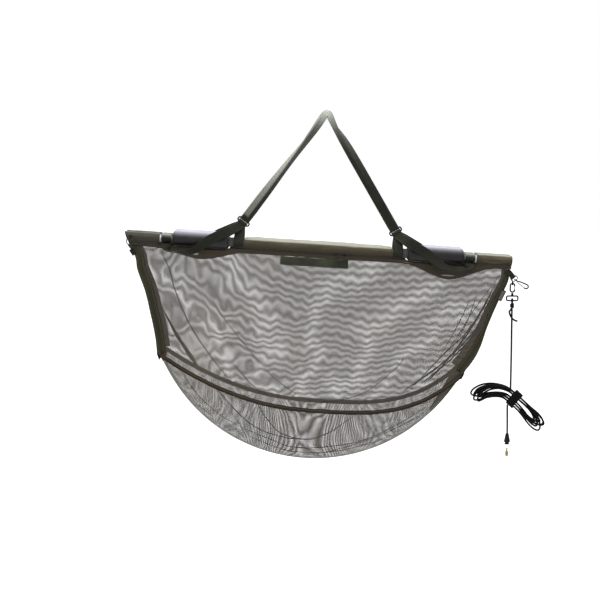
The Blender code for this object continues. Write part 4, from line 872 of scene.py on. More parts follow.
def addBowl():
    reach, bunch = bag["cornerOut"] - net["bowlInset"], math.pi / 2 * 0.98
    rows = []
    for j in range(net["bowlRows"] + 1):
        turn = 2 * j / net["bowlRows"] - 1
        wider, longer = (1.06, 1.1) if turn > 0 else (1.0, 1.0)        # the back half's net is cut a little larger
        row = []
        for i in range(net["bowlColumns"] + 1):
            x = reach * math.sin(bunch * (2 * i / net["bowlColumns"] - 1)) / math.sin(bunch)
            point = bowlPoint(x, turn)
            length = rows[-1][i][1][1] + (point - rows[-1][i][0]).length * longer if rows else rimAt(x)
            row.append((point, (x * wider, length)))
        rows.append(row)
    return finish(clothSheet("bowlNet", rows, looks["bowlNet"]), ["front_bowl", "back_bowl"],
                  blended=keelBlend)


def edgeDrops():
    top, low = skirt["endDrop"] + sling["gap"] * 4, bag["cornerDrop"] + sling["gap"]
    return [between(top, low, j / net["edgeSteps"]) for j in range(net["edgeSteps"] + 1)]


def addGusset(word, hand):
    rows = []
    for drop in edgeDrops()[:-1]:
        deep = panelDepth(drop) - netFace
        rows.append([])
        for i in range(13):
            y = deep * (i / 6 - 1)
            sag = 0.0012 * ripple(drop * 40, y * 30, 5.0 + hand) * (1 - (y / deep) ** 2)
            rows[-1].append((fromTubes(hand * (edgeOut(hand, drop) + sag), y, -drop), (y, drop)))
    piece = clothSheet(word + "Gusset", rows, looks["gussetNet"])
    finish(piece, [f"front_{word}_gusset", f"back_{word}_gusset"],
           blended=((0, -0.045, -0.6), (0, 0.045, -0.6)))


sewnOn = {"front": [], "back": [], "bowl": []}        # pieces that go with each sheet of net
panels = {word: addPanel(word, side, looks[word + "Net"]) for word, side in halves}
bowl = addBowl()
for word, hand in hands:
    addGusset(word, hand)
print("mesh bag made")


# Bands, rim tapes and end tapes
band = {"width": 0.024, "return": 0.011, "cloth": 0.0014, "rimWidth": 0.012, "rimCloth": 0.0014, "endWidth": 0.020,
        "ruffle": 0.0012, "narrow": 0.013, "spreadFrom": 0.18, "spreadOver": 0.09, "rimPast": 0.010, "rimOver": 0.0022,
        "bend": 0.0015, "overlap": 0.0004}
hem = {"right": (1, 0.150, 0.010), "left": (-1, 0.034, 0.012), "tip": 0.0025, "past": 0.012, "cloth": 0.0010,
       "overNet": 0.0026, "overKeel": 0.0014, "sewnAt": 0.0236}        # each side's hand, reach and width


def bandLook(side):
    return looks["band" if side < 0 else "shadedBackBand"]


def addBand(word, side, handWord, hand):
    drops, bend = edgeDrops(), band["bend"]
    step = (drops[1] - drops[0]) / 2
    middle = netFace + band["cloth"] / 2
    turned = [(middle - bend + bend * math.sin(a), middle - bend + bend * math.cos(a))
              for a in (math.pi / 6, math.pi / 3, math.pi / 2)]
    turned += [(middle, middle - bend - (band["return"] - bend + middle) * k / 4) for k in range(1, 5)]
    rows, along, last = [], 0.0, None
    for drop in drops:
        spread = clamp((drop - band["spreadFrom"]) / band["spreadOver"])
        wide = band["width"] if hand < 0 else between(band["narrow"], band["width"], ease(spread))
        inner = netFace + band["cloth"] - wide + band["overlap"]
        section = [(between(inner, middle - bend, k / 8), middle) for k in range(9)] + turned
        slope = (edgeOut(hand, drop + step) - edgeOut(hand, drop - step)) / (2 * step)
        run = Vector((hand, 0, slope)).normalized()
        wavy = band["ruffle"] * ripple(drop * 38, hand * 4.0, 2.0) * min(1.0, drop / 0.15)
        wavy *= 1 + 1.4 * spread * (hand > 0)
        row, across = [], 0.0
        for k, (a, b) in enumerate(section):
            lower = max(drop - run.z * a, drops[0] + sling["gap"])
            lift = wavy * (1 - k / 11 if k < 9 else 0.0) * 0.5
            if k:
                across += math.hypot(a - section[k - 1][0], b - section[k - 1][1])
            row.append((fromTubes(hand * edgeOut(hand, drop) + run.x * (a + min(0.0, wavy)),
                                  side * (panelDepth(lower) + b + max(0.0, lift)), -lower), across))
        here = row[8][0]
        along += (here - last).length if last is not None else 0.0
        last = here
        rows.append([(place, (across, along)) for place, across in row])
    piece = clothSheet(f"{word}{handWord.title()}Band", rows, bandLook(side))
    thicken(piece, band["cloth"] * 0.9)
    sewnOn[word].append(finish(piece, [f"{word}_{handWord}_band"], word + "_half"))


def addRimTape(word, side):
    reach = bag["cornerOut"] - band["rimPast"]
    path = []
    for i in range(121):
        x = reach * (i / 60 - 1)
        depth = panelDepth(rimAt(x)) + netFace + band["rimCloth"] / 2
        depth += band["rimOver"] * clamp((abs(x) - bag["cornerOut"] + band["width"] + 0.008) / 0.008)
        path.append(fromTubes(x, side * depth, -rimAt(x) + 0.0005 * ripple(x * 30, side, 6.0)))
    tape = strap(word + "RimTape", path, [upWay] * len(path), band["rimWidth"], band["rimCloth"], looks["tape"])
    sewnOn[word].append(finish(tape, [word + "_rim_tape"], word + "_half"))


def addEndTape(word, hand):
    deep = panelDepth(bag["cornerDrop"])
    slant = math.atan2(bag["cornerDrop"] - bag["bowlCentreDrop"], bag["cornerOut"])
    way = Vector((-hand * math.sin(slant), 0, -math.cos(slant)))
    out = Vector((hand * math.cos(slant), 0, -math.sin(slant)))
    middle = fromTubes(hand * bag["cornerOut"], 0, -bag["cornerDrop"]) + way * (band["endWidth"] / 2 + 0.0001)
    middle += out * (netFace + sling["gap"] + band["rimCloth"])
    path = [middle + Vector((0, deep * (k / 12 - 1), 0)) + out * 0.0006 * ripple(k * 0.7, hand, 1.0) for k in range(25)]
    tape = strap(word + "EndTape", path, [way] * len(path), band["endWidth"], band["rimCloth"], looks["endTape"])
    sewnOn["bowl"].append(finish(tape, [f"front_{word}_end_tape", f"back_{word}_end_tape"],
                                 blended=((0, -0.045, -0.68), (0, 0.045, -0.68))))


# The hem carries on from the band along the bowl's edge, wide and long on the right
def addHem(word, side, handWord):
    hand, reach, wide = hem[handWord]
    corner = math.asin(bag["cornerOut"] / bag["bowlRadius"])
    rows = []
    for j in range(31):
        share = j / 30
        angle = corner + hem["past"] - reach / bag["bowlRadius"] * share
        width = between(hem["tip"], wide, 1 - share**2)
        rows.append([])
        for i in range(7):
            inside = width * i / 6
            x = min(bag["cornerOut"] - 0.0001, (bag["bowlRadius"] - inside) * math.sin(angle))
            drop = bag["bowlCentreDrop"] + (bag["bowlRadius"] - inside) * math.cos(angle)
            high, low = rimAt(x * hand), keelAt(x)
            depth = panelDepth(drop) + hem["overNet"]
            if drop > high:
                down = min(1.0, (drop - high) / max(low - high, 1e-5))
                depth = panelDepth(high) * math.sqrt(1 - down**2) + between(hem["overNet"], hem["overKeel"], down)
            wave = 0.0007 * ripple(share * 9, i * 0.3, 4.0 + hand)
            place = fromTubes(hand * x, side * (depth + wave), -drop)
            rows[-1].append((place, (hem["sewnAt"] - inside, reach * share)))
    piece = clothSheet(f"{word}{handWord.title()}Hem", rows, bandLook(side))
    thicken(piece, hem["cloth"])
    sewnOn["bowl"].append(finish(piece, body=word + "_half"))


for word, side in halves:
    addRimTape(word, side)
    for handWord, hand in hands:
        addBand(word, side, handWord, hand)
for handWord, hand in hands:
    addEndTape(handWord, hand)
for word, side in halves:
    for handWord in ("right", "left"):
        addHem(word, side, handWord)


# Seams and gathered folds drawn as narrow strips on the net, in mm: (out, down) on the panels,
# (out, percent of the way from keel to rim) on the bowl
folds = {
    "lift": 0.0010, "thick": 1.5,
    "panel": ((1.8, ((-425, 32), (-397, 87), (-380, 137), (-343, 214), (-292, 286), (-207, 384))),
              (1.1, ((-297, 132), (-236, 212), (-135, 322), (-66, 379), (2, 412))),
              (1.4, ((-210, 327), (-170, 367), (-130, 402))),
              (1.4, ((31, 419), (123, 395), (182, 358), (242, 298), (252, 271))),
              (3.2, ((457, 168), (409, 232), (348, 297), (259, 369))),
              (2.6, ((445, 197), (375, 281), (304, 347))),
              (1.2, ((496, 40), (431, 141), (381, 234), (312, 319))),
              (2.0, ((487, 62), (425, 189), (355, 268), (277, 363))),
              (2.9, ((471, 101), (434, 179), (392, 247), (349, 307), (322, 337))),
              (1.3, ((479, 82), (455, 140), (417, 199), (372, 296)))),
    "backPanel": (((3.5, 13.0), ((-425, 193), (-378, 274), (-312, 368))),
                  (1.4, ((430, 120), (400, 200), (360, 290))),
                  (1.4, ((448, 100), (425, 190), (385, 280)))),
    "bowl": ((1.8, ((-138, 99), (-112, 84), (-67, 67), (5, 63), (60, 73), (127, 96))),
             (1.8, ((-253, 99), (-203, 82), (-144, 67), (-67, 62), (5, 62))),
             (1.8, ((-181, 58), (-104, 54), (-27, 47), (63, 51), (156, 56), (254, 70), (327, 81))),
             (1.8, ((-152, 46), (-26, 37), (87, 40), (158, 44), (258, 47))),
             (1.3, ((-354, 99), (-309, 72), (-240, 60), (-181, 58))),
             (1.3, ((-395, 99), (-379, 64), (-334, 46), (-259, 47))),
             (1.5, ((-12, 28), (82, 43), (184, 56), (266, 63), (339, 62))),
             (1.5, ((-398, 14), (-300, 10), (-150, 8), (0, 7), (150, 8), (300, 10), (380, 12))),
             (2.3, ((-403, 9), (-385, 5), (-350, 3), (-290, 3), (-210, 4), (-140, 5)))),
}


def onPanel(side, out, down):
    x, drop = out / 1000, down / 1000
    high, low = skirtAt(x) - skirt["seam"], rimAt(x) - net["rimSeam"]
    v = clamp((drop - high) / (low - high))
    left, right = panelSides(v)
    return panelPoint(side, x, drop, v, (x - left) / (right - left))


def onBowl(side, out, percent):
    return bowlPoint(out / 1000, side * percent / 100)


def addFolds(key, side, place, look, body=None, blended=None):
    points, flats, faces = [], [], []
    for wide, line in folds[key]:
        first, last = wide if isinstance(wide, tuple) else (wide * folds["thick"],) * 2
        spots = smoothRoute([Vector(spot) for spot in line], 10)
        centres = [place(side, *spot) for spot in spots]
        lengths = lengthsAlong(centres)
        for i, ((out, down), centre) in enumerate(zip(spots, centres)):
            face = (place(side, out + 1, down) - centre).cross(place(side, out, down - 1) - centre).normalized()
            if face.y * side < 0:
                face = -face
            across, share = aheadAt(centres, i).cross(face).normalized(), i / (len(centres) - 1)
            taper = min(1.0, 0.45 + 0.55 * math.sin(math.pi * share) * 1.6)
            uneven = 1 + 0.35 * ripple(lengths[max(i - 1, 0)] * 60, first, 3.0)
            half = between(first, last, share) / 2000 * taper * uneven
            for edge in (-1, 1):
                points.append(centre + across * half * edge + face * folds["lift"])
                flats.append((half * edge, lengths[i]))
            if i:
                a = len(points) - 4
                faces.append((a, a + 1, a + 3, a + 2))
    piece = meshPiece(key + "Folds", points, faces, flats, looks[look])
    finish(piece, body=body, blended=blended)
    sewnOn["bowl" if blended else body[:-5]].append(piece)


addFolds("panel", -1, onPanel, "shadedFoldNet", body="front_half")
addFolds("backPanel", 1, onPanel, "shadedBackBand", body="back_half")
addFolds("bowl", -1, onBowl, "shadedFoldNet", blended=keelBlend)
print("bands, tapes, hems and folds sewn")


# Sleeves over the tubes
sleeve = {"closeTo": 0.2405, "closeDrop": 0.0146, "puff": 0.0030, "slant": 0.014, "endReach": 0.03, "columns": 210,
          "skirtRows": 6, "round": 30, "crease": 0.0013, "wall": 0.0009, "plyShift": 0.35, "hemShift": 0.6}


def sleeveColumns():
    keys = sorted(end * x for x in (sling["sleeveHalf"], skirt["cutOuter"], skirt["cutInner"]) for end in (-1, 1))
    places = []
    for a, b in zip(keys, keys[1:]):
        count = max(2, round((b - a) / (2 * sling["sleeveHalf"]) * sleeve["columns"]))
        places += [a + (b - a) * k / count for k in range(count)]
    return [*places, keys[-1]]


def addSleeve(word, side):
    places, radius, shift = sleeveColumns(), sling["sleeveRadius"], skirt["cloth"] * sleeve["plyShift"]
    begin, end = [math.asin((skirtOut(radius) + way) / radius) - math.pi / 2 for way in (shift, -shift)]
    end += 2 * math.pi
    rows = []
    for x in places:
        low = skirtAt(x)
        level = skirt["cutDrop"] if abs(x) > sleeve["closeTo"] else sleeve["closeDrop"]
        plies = []
        for way, around in ((shift, begin), (-shift, end)):
            cut = Vector((skirtOut(level) + way, -level))
            lowest = Vector((skirtOut(low) + way * sleeve["hemShift"], -low))
            run = [lowest.lerp(cut, k / sleeve["skirtRows"]) for k in range(sleeve["skirtRows"] + 1)]
            plies.append([*run, cut.lerp(Vector((math.cos(around), math.sin(around))) * radius, 0.5)])
        circle = []
        for k in range(sleeve["round"] + 1):
            angle = begin + (end - begin) * k / sleeve["round"]
            swell = ripple(x * 11, angle * 1.6, 4.0 + side) + 0.6 * ripple(x * 46, angle * 2.5, 7.0 + side)
            puff = clamp((skirt["cutInner"] - abs(x)) / sleeve["endReach"]) * max(0.0, math.sin(angle)) ** 2
            reach = radius + sleeve["puff"] * puff + min(0.0008, sleeve["crease"] * swell)
            circle.append(Vector((math.cos(angle), math.sin(angle))) * reach)
        line = plies[0] + circle + plies[1][::-1]
        lift = 0.0008 * ripple(x * 24, 0.0, 8.0 + side)
        slope = sleeve["slant"] * max(0.0, 1 - (x + sling["sleeveHalf"]) / sleeve["endReach"]) / 0.036
        rows.append([])
        for (out, rise), along in zip(line, lengthsAlong(line)):
            sway = lift * clamp((-rise - 0.012) / 0.03)
            place = fromTubes(x + slope * max(0.0, radius - rise), side * (sling["tubeApart"] + out + sway), rise)
            rows[-1].append((place, (along - 0.006, x)))
    firstRound, lastRound = sleeve["skirtRows"], len(rows[0]) - 1 - sleeve["skirtRows"]

    def cutOut(j, i):
        middle = abs(places[j] + places[j + 1]) / 2
        return skirt["cutInner"] < middle < skirt["cutOuter"] and firstRound <= i < lastRound

    piece = clothSheet(word + "Sleeve", rows, looks["sleeve"], holes=cutOut)
    thicken(piece, sleeve["wall"])
    finish(piece, [word + "_sleeve"], word + "_half")


for word, side in halves:
    addSleeve(word, side)
print("sleeves made")


# Foam floats
floatShape = {"edgeRound": 0.006, "crown": 1.36, "hollow": 0.0006, "bore": 0.0115, "around": 48, "along": 18}


def addFloat(word, side, handWord, hand):
    low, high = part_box(f"{word}_{handWord}_float")
    middle, half = (low + high) / 2, (high.x - low.x) / 2
    radius, edge, bore, count = sling["floatRadius"], floatShape["edgeRound"], floatShape["bore"], floatShape["around"]
    corner = [(radius - edge + edge * math.cos(t), half - edge + edge * math.sin(t))
              for t in (math.pi / 12 * k for k in range(7))]
    body = [(radius, (half - edge) * (2 * k / floatShape["along"] - 1)) for k in range(1, floatShape["along"])]
    profile = [(bore, -half), *[(out, -along) for out, along in corner[::-1]], *body, *corner,
               (bore, half), (bore, half / 3), (bore, -half / 3)]
    points, flats = [], []
    for out, along in profile:
        for k in range(count):
            turn = 2 * math.pi * k / count
            reach = out
            if out > radius * 0.8:
                dent = ripple(along * 40, math.cos(turn) * 1.4 + hand, math.sin(turn) * 1.4 + side) - 0.6
                reach += floatShape["hollow"] * min(0.0, dent)
            rise = math.sin(turn) * reach
            if rise > 0 and out > bore:
                rise *= floatShape["crown"]
            points.append(middle + Vector((along, math.cos(turn) * reach, rise)))
            flats.append((radius * turn, along))
    faces = ringFaces(len(profile), count, joined=True)
    piece = meshPiece(f"{word}{handWord.title()}Float", points, faces, flats, looks["foam"])
    selectOnly(piece)
    bpy.ops.object.mode_set(mode="EDIT")
    bpy.ops.mesh.select_all(action="SELECT")
    bpy.ops.mesh.normals_make_consistent(inside=False)
    bpy.ops.object.mode_set(mode="OBJECT")
    bpy.ops.object.shade_smooth_by_angle(angle=math.radians(50))
    finish(piece, [f"{word}_{handWord}_float"], word + "_half")


for word, side in halves:
    for handWord, hand in hands:
        addFloat(word, side, handWord, hand)
print("floats made")


# Webbing: handle and bridles
webbing = {
    "width": 0.027, "cloth": 0.0016, "hookBend": 0.006, "ringOut": 0.207, "ringRise": 0.058, "ringWire": 0.004,
    "ringSlot": 0.007, "tail": 0.042, "plyGap": 0.0006, "innerWrap": 0.2165, "outerWrap": 0.4115, "slackLeft": 0.034,
    "slackRight": 0.030, "slackForward": 0.004, "slackRun": 0.032, "ringLead": 0.005,
    "outerTurn": math.radians(310), "innerTurn": math.radians(292), "legSteps": 56, "bendSteps": 12, "turnSteps": 40,
}
legWay = Vector((webbing["ringOut"], 0, webbing["ringRise"] + sling["tubeHeight"])).normalized()
barBack = (webbing["ringSlot"] + webbing["ringWire"]) / 2
wrapRadius = sling["tubeRadius"] + sling["gap"] + webbing["cloth"] / 2
hookCentre, hookRadius = Vector((0, 0, -webbing["hookBend"])), webbing["hookBend"] + webbing["cloth"] / 2
sideWay = Vector((1, 0, 0))


def ringFrame(hand):
    down = Vector((legWay.x * hand, 0, legWay.z))
    across = Vector((-legWay.z, 0, legWay.x * hand))
    return fromTubes(hand * webbing["ringOut"], 0, webbing["ringRise"]), down, across


# Tail, turn round the ring's bar and leg up to the hook: path, ways, seams, creases, painted highlight shares
def handleSide(hand):
    fold = webbing["ringWire"] / 2 + sling["gap"] + webbing["cloth"] / 2
    ply = (webbing["cloth"] + webbing["plyGap"]) / 2
    centre, down, across = ringFrame(hand)
    bar = centre - down * barBack
    tail = [bar - down * between(webbing["tail"], fold * 3, k / 8) - frontWay * ply for k in range(9)]
    around = partTurn(bar, -frontWay, down, fold, 0, math.pi, webbing["bendSteps"])
    start = bar - down * (fold * 3) + frontWay * ply
    apex = hookCentre + Vector((-down.z * hand, 0, down.x * hand)) * hookRadius
    path = [*tail, *around, start]
    ways, creases, highlightShares = [across] * len(path), [0.0] * len(path), [(0.0, 0.0)] * len(path)
    for k in range(1, webbing["legSteps"]):
        t = k / webbing["legSteps"]
        turn = math.pi / 2 * t ** (5 if hand > 0 else 4)
        shut = math.sin(math.pi * min(1.0, t * 1.3) / 2) ** 2
        tip = t**10 * 0.8
        path.append(start.lerp(apex, t))
        ways.append(across * math.cos(turn) + Vector((0, hand, 0)) * math.sin(turn))
        creases.append(-(1.3 if hand < 0 else 0.12) * shut - (0.1 if hand < 0 else 1.28) * t**6)
        # painted highlight on the upper face of the left leg's fold, and towards the hook on both legs
        highlightShares.append((0.32 + 0.52 * shut, max(tip, 0.15 * shut)) if hand < 0 else (tip, max(tip, t**4 * 0.35)))
    seams = [1.0] * len(tail) + [0.0] * len(around) + [1.0] * 9 + [0.0] * (webbing["legSteps"] - 9)
    return path, ways, seams, creases, highlightShares


def addHandle():
    lean = math.atan2(legWay.x, -legWay.z)
    bend = partTurn(hookCentre, sideWay, upWay, hookRadius, lean, math.pi - lean, 16)
    right, (path, ways, seams, creases, highlightShares) = handleSide(1), handleSide(-1)
    left = path, [-way for way in ways], seams, creases, [(b, a) for a, b in highlightShares]
    # over the hook: ways, no seams, the leg's last crease, and a painted highlight
    top = bend, *[[value] * len(bend) for value in (-frontWay, 0.0, right[3][-1], (0.8, 0.8))]
    path, ways, seams, creases, highlightShares = [a + b + c[::-1] for a, b, c in zip(right, top, left)]
    handle = strap("handleStrap", path, ways, webbing["width"], webbing["cloth"], looks["webbing"], sewn=seams,
                   crease=creases, fade=highlightShares)
    finish(handle, ["handle_strap"], blended=((0, 0, -0.250), (0, 0, -0.286)))


def bridlePath(hand, outer):
    centre, down, across = ringFrame(hand)
    fold = webbing["ringWire"] / 2 + sling["gap"] * 2 + webbing["cloth"] / 2
    fold += webbing["cloth"] + sling["gap"] * 3 if outer else 0
    path = partTurn(centre + down * barBack, -down, frontWay, fold, 0, math.pi / 2, webbing["bendSteps"])
    path.append(path[-1] + down * webbing["ringLead"])
    ways, seams = [across] * len(path), [0.0] * len(path)
    wrapOut = webbing["outerWrap"] if outer else webbing["innerWrap"]
    tube = fromTubes(hand * wrapOut, -sling["tubeApart"], 0)
    if outer:
        out, length = sling["floatOut"], sling["floatLength"]
        ahead = sling["tubeApart"] + sling["floatRadius"] + sling["gap"] * 12 + webbing["cloth"]
        front, slack = ahead + webbing["slackForward"], webbing["slackRight"] if hand > 0 else webbing["slackLeft"]
        stops = ((out - length / 2, ahead * 0.9, webbing["ringRise"] * 0.56, 0.0),        # out, forward, rise and twist
                 (out - length / 6, ahead, webbing["ringRise"] * 0.1, 0.05),
                 (out + length / 8, front, -slack * 0.78, 0.5),
                 (wrapOut - webbing["slackRun"], front, -slack, 0.9),
                 (wrapOut - webbing["slackRun"] / 5, ahead, -slack * 0.86, 1.0),
                 (wrapOut, sling["tubeApart"] + wrapRadius * 1.2, -wrapRadius * 1.3, 1.0))
        begin, steps = -math.pi / 2, 12
        tour = partTurn(tube, frontWay, upWay, wrapRadius, begin, begin - webbing["outerTurn"], webbing["turnSteps"])
        route = smoothRoute([path[-1], *[fromTubes(hand * x, -y, z) for x, y, z, _ in stops], tour[0]], steps)
        twists = [0.0, *[twist for *_, twist in stops], 1.0]
        for k in range(1, len(route) - 1):
            t = k / steps
            low = min(int(t), len(twists) - 2)
            twist = between(twists[low], twists[low + 1], t - low) * math.pi / 2
            going = aheadAt(route, k)
            faceOn, flat = going.cross(frontWay).normalized() * hand, going.cross(upWay).normalized()
            if faceOn.dot(across) < 0:
                faceOn = -faceOn
            if flat.dot(frontWay) > 0:
                flat = -flat
            mixed = (across * max(0.0, 1 - t) + faceOn * min(1.0, t)).normalized()
            path.append(route[k])
            ways.append(mixed * math.cos(twist) + flat * math.sin(twist))
            seams.append(1.0 if k < 16 else 0.0)
    else:
        reach = path[-1]
        away = Vector((0, reach.y - tube.y, reach.z - tube.z))
        begin = math.atan2(away.z, -away.y) - math.acos(wrapRadius / away.length)
        tour = partTurn(tube, frontWay, upWay, wrapRadius, begin, begin - webbing["innerTurn"], webbing["turnSteps"])
        for k in range(1, 16):
            path.append(reach.lerp(tour[0], k / 16))
            ways.append(across.lerp(sideWay, k / 16).normalized())
            seams.append(1.0 if k < 10 else 0.0)
    return path + tour, ways + [sideWay] * len(tour), seams + [0.0] * len(tour)


def addBridle(word, hand, kind):
    path, ways, seams = bridlePath(hand, kind == "outer")
    loopTopHighlight = []
    for i, point in enumerate(path):        # painted highlight on top of the tube
        turned = kind == "outer" and i >= len(path) - webbing["turnSteps"]
        rise = max(0.0, (point.z - sling["tubeHeight"]) / wrapRadius) if turned else 0.0
        loopTopHighlight.append((0.75 * rise**3,) * 2)
    backPath, backWays = [[Vector((v.x, -v.y, v.z)) for v in front[:0:-1]] for front in (path, ways)]
    piece = strap(f"{word}{kind.title()}Bridle", backPath + path, backWays + ways, webbing["width"], webbing["cloth"],
                  looks["webbing"], square=False, sewn=seams[:0:-1] + seams, fade=loopTopHighlight[:0:-1] + loopTopHighlight)
    finish(piece, [f"{word}_{kind}_bridle"], blended=((0, 0.0064, -0.305), (0, 0.0214, -0.3089)))


addHandle()
for word, hand in hands:
    for kind in ("inner", "outer"):
        addBridle(word, hand, kind)
print("webbing sewn")


# Label, tags, keeper and tab
trim = {"labelWidth": 0.185, "labelHeight": 0.023, "labelOut": -0.0085, "labelDrop": 0.027, "labelCloth": 0.0009,
        "tagCloth": 0.0012, "tagHold": 0.006, "tagLift": 0.0014, "keeperOut": 0.507, "keeperRise": -0.002,
        "keeperWidth": 0.005, "keeperCloth": 0.001, "keeperWire": 0.0025, "keeperTail": 0.007, "tabWidth": 0.014,
        "tabOut": 0.5195, "tabRise": -0.031, "tabLength": 0.017, "tabSewn": 0.007, "tabPlane": 0.033, "tabWire": 0.0022}


def addLabel():
    ahead = netFace + sling["gap"] + trim["labelCloth"] / 2
    rows = []
    for j in range(9):
        drop = trim["labelDrop"] + trim["labelHeight"] * j / 8
        rows.append([])
        for i in range(61):
            x = trim["labelOut"] + trim["labelWidth"] * (i / 60 - 0.5)
            wavy = 0.0007 * max(0.0, ripple(x * 22, drop * 20, 1.5))
            rows[-1].append((fromTubes(x, -panelDepth(drop) - ahead - wavy, -drop),
                             (trim["labelHeight"] * (j / 8 - 0.5), x)))
    piece = clothSheet("labelPatch", rows, looks["label"])
    thicken(piece, trim["labelCloth"])
    sewnOn["front"].append(finish(piece, ["label_patch"], "front_half"))


def addTag(name, node, hand, drop, length, reach, look, face=None):
    slope = (edgeOut(hand, drop + length / 2) - edgeOut(hand, drop - length / 2)) / length
    run = Vector((hand, 0, slope)).normalized()
    down = Vector((hand * slope, 0, -1)).normalized()
    begin, wide = trim["tagLift"] - trim["tagHold"], trim["tagHold"] + reach
    rows = []
    for j in range(13):
        rows.append([])
        for i in range(7):
            flat = down * (length * (j / 12 - 0.5)) + run * (begin + wide * i / 6)
            ahead = panelDepth(drop - flat.z) + netFace + sling["gap"] + trim["tagLift"] + trim["tagCloth"] / 2
            rows[-1].append((fromTubes(hand * edgeOut(hand, drop) + flat.x, -ahead, flat.z - drop),
                             (reach * i / 6, length * j / 12)))
    piece = clothSheet(name, rows, look)
    if face is not None:
        piece.data.materials.append(face)
        for k, polygon in enumerate(piece.data.polygons):
            j, i = divmod(k, 6)
            polygon.material_index = 1 if 1 <= j <= 10 and 1 <= i <= 4 else 0
    thicken(piece, trim["tagCloth"] * 0.9)
    sewnOn["front"].append(finish(piece, [node], "front_half"))


def addKeeper():
    fold = trim["keeperWire"] / 2 + sling["gap"] * 3 + trim["keeperCloth"] / 2
    depth = sling["tubeApart"] + sling["sleeveRadius"] + sling["gap"] * 2 + trim["keeperCloth"] / 2 + fold
    point = fromTubes(-trim["keeperOut"], -depth, trim["keeperRise"])
    close = fold - trim["keeperCloth"] - sling["gap"]
    ends = [point + Vector((0, back, up)) for back, up in (
        (fold, trim["keeperTail"]), (fold, fold), (-fold * 0.4, fold), (close, fold * 2.2),
        (close, trim["keeperTail"]))]
    path = ends[:2] + partTurn(point, -frontWay, -upWay, fold, 0, math.pi, 10) + ends[2:]
    piece = strap("ringKeeper", path, [sideWay] * len(path), trim["keeperWidth"], trim["keeperCloth"],
                  looks["blackTape"])
    finish(piece, ["ring_keeper"], "front_half")


def foldedOver(starts, end, down, fold, ply):        # two plies from a seam down to a ring, and the turn round it
    near = [*starts, end - down * fold[1]]
    return ([place - frontWay * ply for place in near] + partTurn(end, -frontWay, down, fold[0], 0, math.pi, 10)
            + [place + frontWay * ply for place in near[::-1]])


def addClipTab():
    turn = math.radians(45)
    down, side = Vector((math.cos(turn), 0, -math.sin(turn))), Vector((math.sin(turn), 0, math.cos(turn)))
    start = fromTubes(trim["tabOut"], -trim["tabPlane"], trim["tabRise"])
    fold = trim["tabWire"] / 2 + sling["gap"] * 2 + trim["keeperCloth"] / 2
    ply = (trim["keeperCloth"] + webbing["plyGap"]) / 2
    sewn = start - down * trim["tabSewn"]
    sewn.y = -(panelDepth(-trim["tabRise"]) + netFace + trim["tagLift"] + sling["gap"] + ply + trim["keeperCloth"] / 2)
    path = foldedOver([sewn, start], start + down * trim["tabLength"], down, (fold, fold * 3), ply)
    piece = strap("clipTab", path, [side] * len(path), trim["tabWidth"], trim["keeperCloth"], looks["webbing"])
    finish(piece, ["clip_tab"], "front_half")


addLabel()
addTag("sideTag", "side_tag", 1, 0.093, 0.031, 0.007, looks["tagEdge"], looks["tagFace"])
addTag("pullTab", "pull_tab", -1, 0.041, 0.018, 0.006, looks["blackTape"])
addKeeper()
addClipTab()
print("trim sewn")


# Clip loop and the cord's end
clip = {"length": 0.028, "wire": 0.0042, "swivel": 0.006, "loopCord": 0.003, "loopRise": -0.040}
cordEnd = {"start": 0.3764, "across": -0.0047, "length": 0.029, "topWidth": 0.008, "width": 0.017,
           "foldWidth": 0.0105, "cloth": 0.0016, "ringWire": 0.0012, "steps": 12}


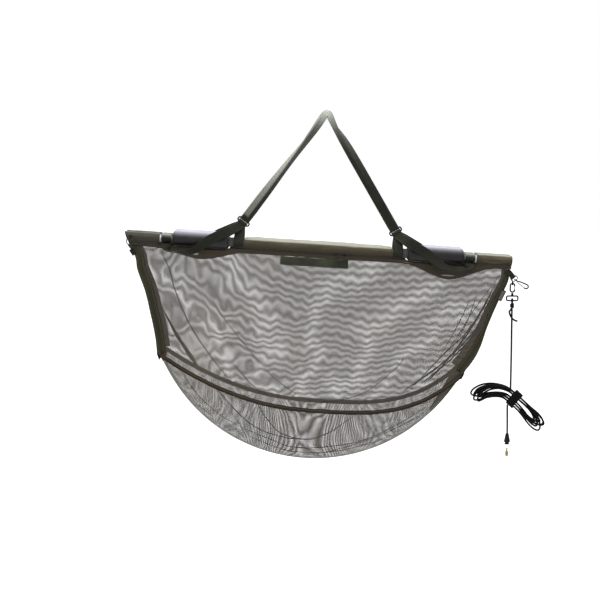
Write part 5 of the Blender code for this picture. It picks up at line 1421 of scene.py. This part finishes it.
def addClipLoop():
    bottom = cord["eyeHeight"] / 2 + clip["swivel"] + sling["gap"] * 2
    hang = onCord(0, clip["wire"] / 2 - clip["length"] - bottom)
    fold, wire = (clip["wire"] + clip["loopCord"]) / 2 + sling["gap"], clip["loopCord"]
    edge = edgeOut(1, -clip["loopRise"]) + netFace + band["cloth"] + sling["gap"] * 2 + wire / 2
    depth = panelDepth(-clip["loopRise"]) + bag["netCloth"] / 2
    under = partTurn(hang, -frontWay, downCord, fold, 0, math.pi, 8)
    seat = fromTubes(edge, 0, clip["loopRise"])
    slack = [seat.lerp(end, 0.35) for end in (under[0], under[-1])]
    for place, end in zip(slack, (under[0], under[-1])):
        place.y = end.y
    rise = -downCord * fold * 1.2
    points = [Vector((seat.x, wire * 1.2 - depth, seat.z)), slack[0], under[0] + rise, *under, under[-1] + rise,
              slack[1], Vector((seat.x, -depth - wire * 0.4, seat.z + wire))]
    loop = cordTube("clipLoop", smoothRoute(points, 4), wire)
    finish(loop, ["cord_loop"], blended=((0.530, -0.024, -0.404), (0.532, -0.024, -0.4195)))


def addCordEnd():
    steps, narrow, wide = cordEnd["steps"], cordEnd["topWidth"], cordEnd["width"]
    ringTop = onCord(cordEnd["across"], cordEnd["start"] + cordEnd["length"])
    start = onCord(cordEnd["across"], cordEnd["start"] + sling["gap"])
    fold = cordEnd["ringWire"] / 2 + sling["gap"] * 2 + cordEnd["cloth"] / 2
    starts = [start.lerp(ringTop, 0.8 * k / steps) for k in range(steps + 1)]
    widths = [narrow + (wide - narrow) * k / steps for k in range(steps + 1)]
    path = foldedOver(starts, ringTop, downCord, (fold, fold * 1.6), (cordEnd["cloth"] + webbing["plyGap"]) / 2)
    widths += [cordEnd["foldWidth"]] * (len(path) - 2 * len(widths)) + widths[::-1]
    tab = strap("cordEndTab", path, [acrossCord] * len(path), widths, cordEnd["cloth"], looks["blackTape"])
    finish(tab, ["end_tab"], "cord_line")


addClipLoop()
addCordEnd()
print("cord's end made")


# Finishes of the carried metal and plastic pieces
finishes = {
    "blackMetal": ("left_bridle_ring", "right_bridle_ring", "tab_ring", "spare_clip", "cord_clip", "cord_eye",
                   "spare_gate", "cord_gate"),
    "darkSteel": ("left_wire_ring", "end_ring"), "brass": ("end_fitting",), "tube": ("front_tube", "back_tube"),
    "plug": [f"{word}_tube_{handWord}_plug" for word, _ in halves for handWord, _ in hands],
}
for look, nodes in finishes.items():
    for node in nodes:
        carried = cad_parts[node]
        if isinstance(carried, str):
            carried = bpy.data.objects[carried]
        for slot in carried.material_slots:
            slot.material = looks[look]
print("finishes given")
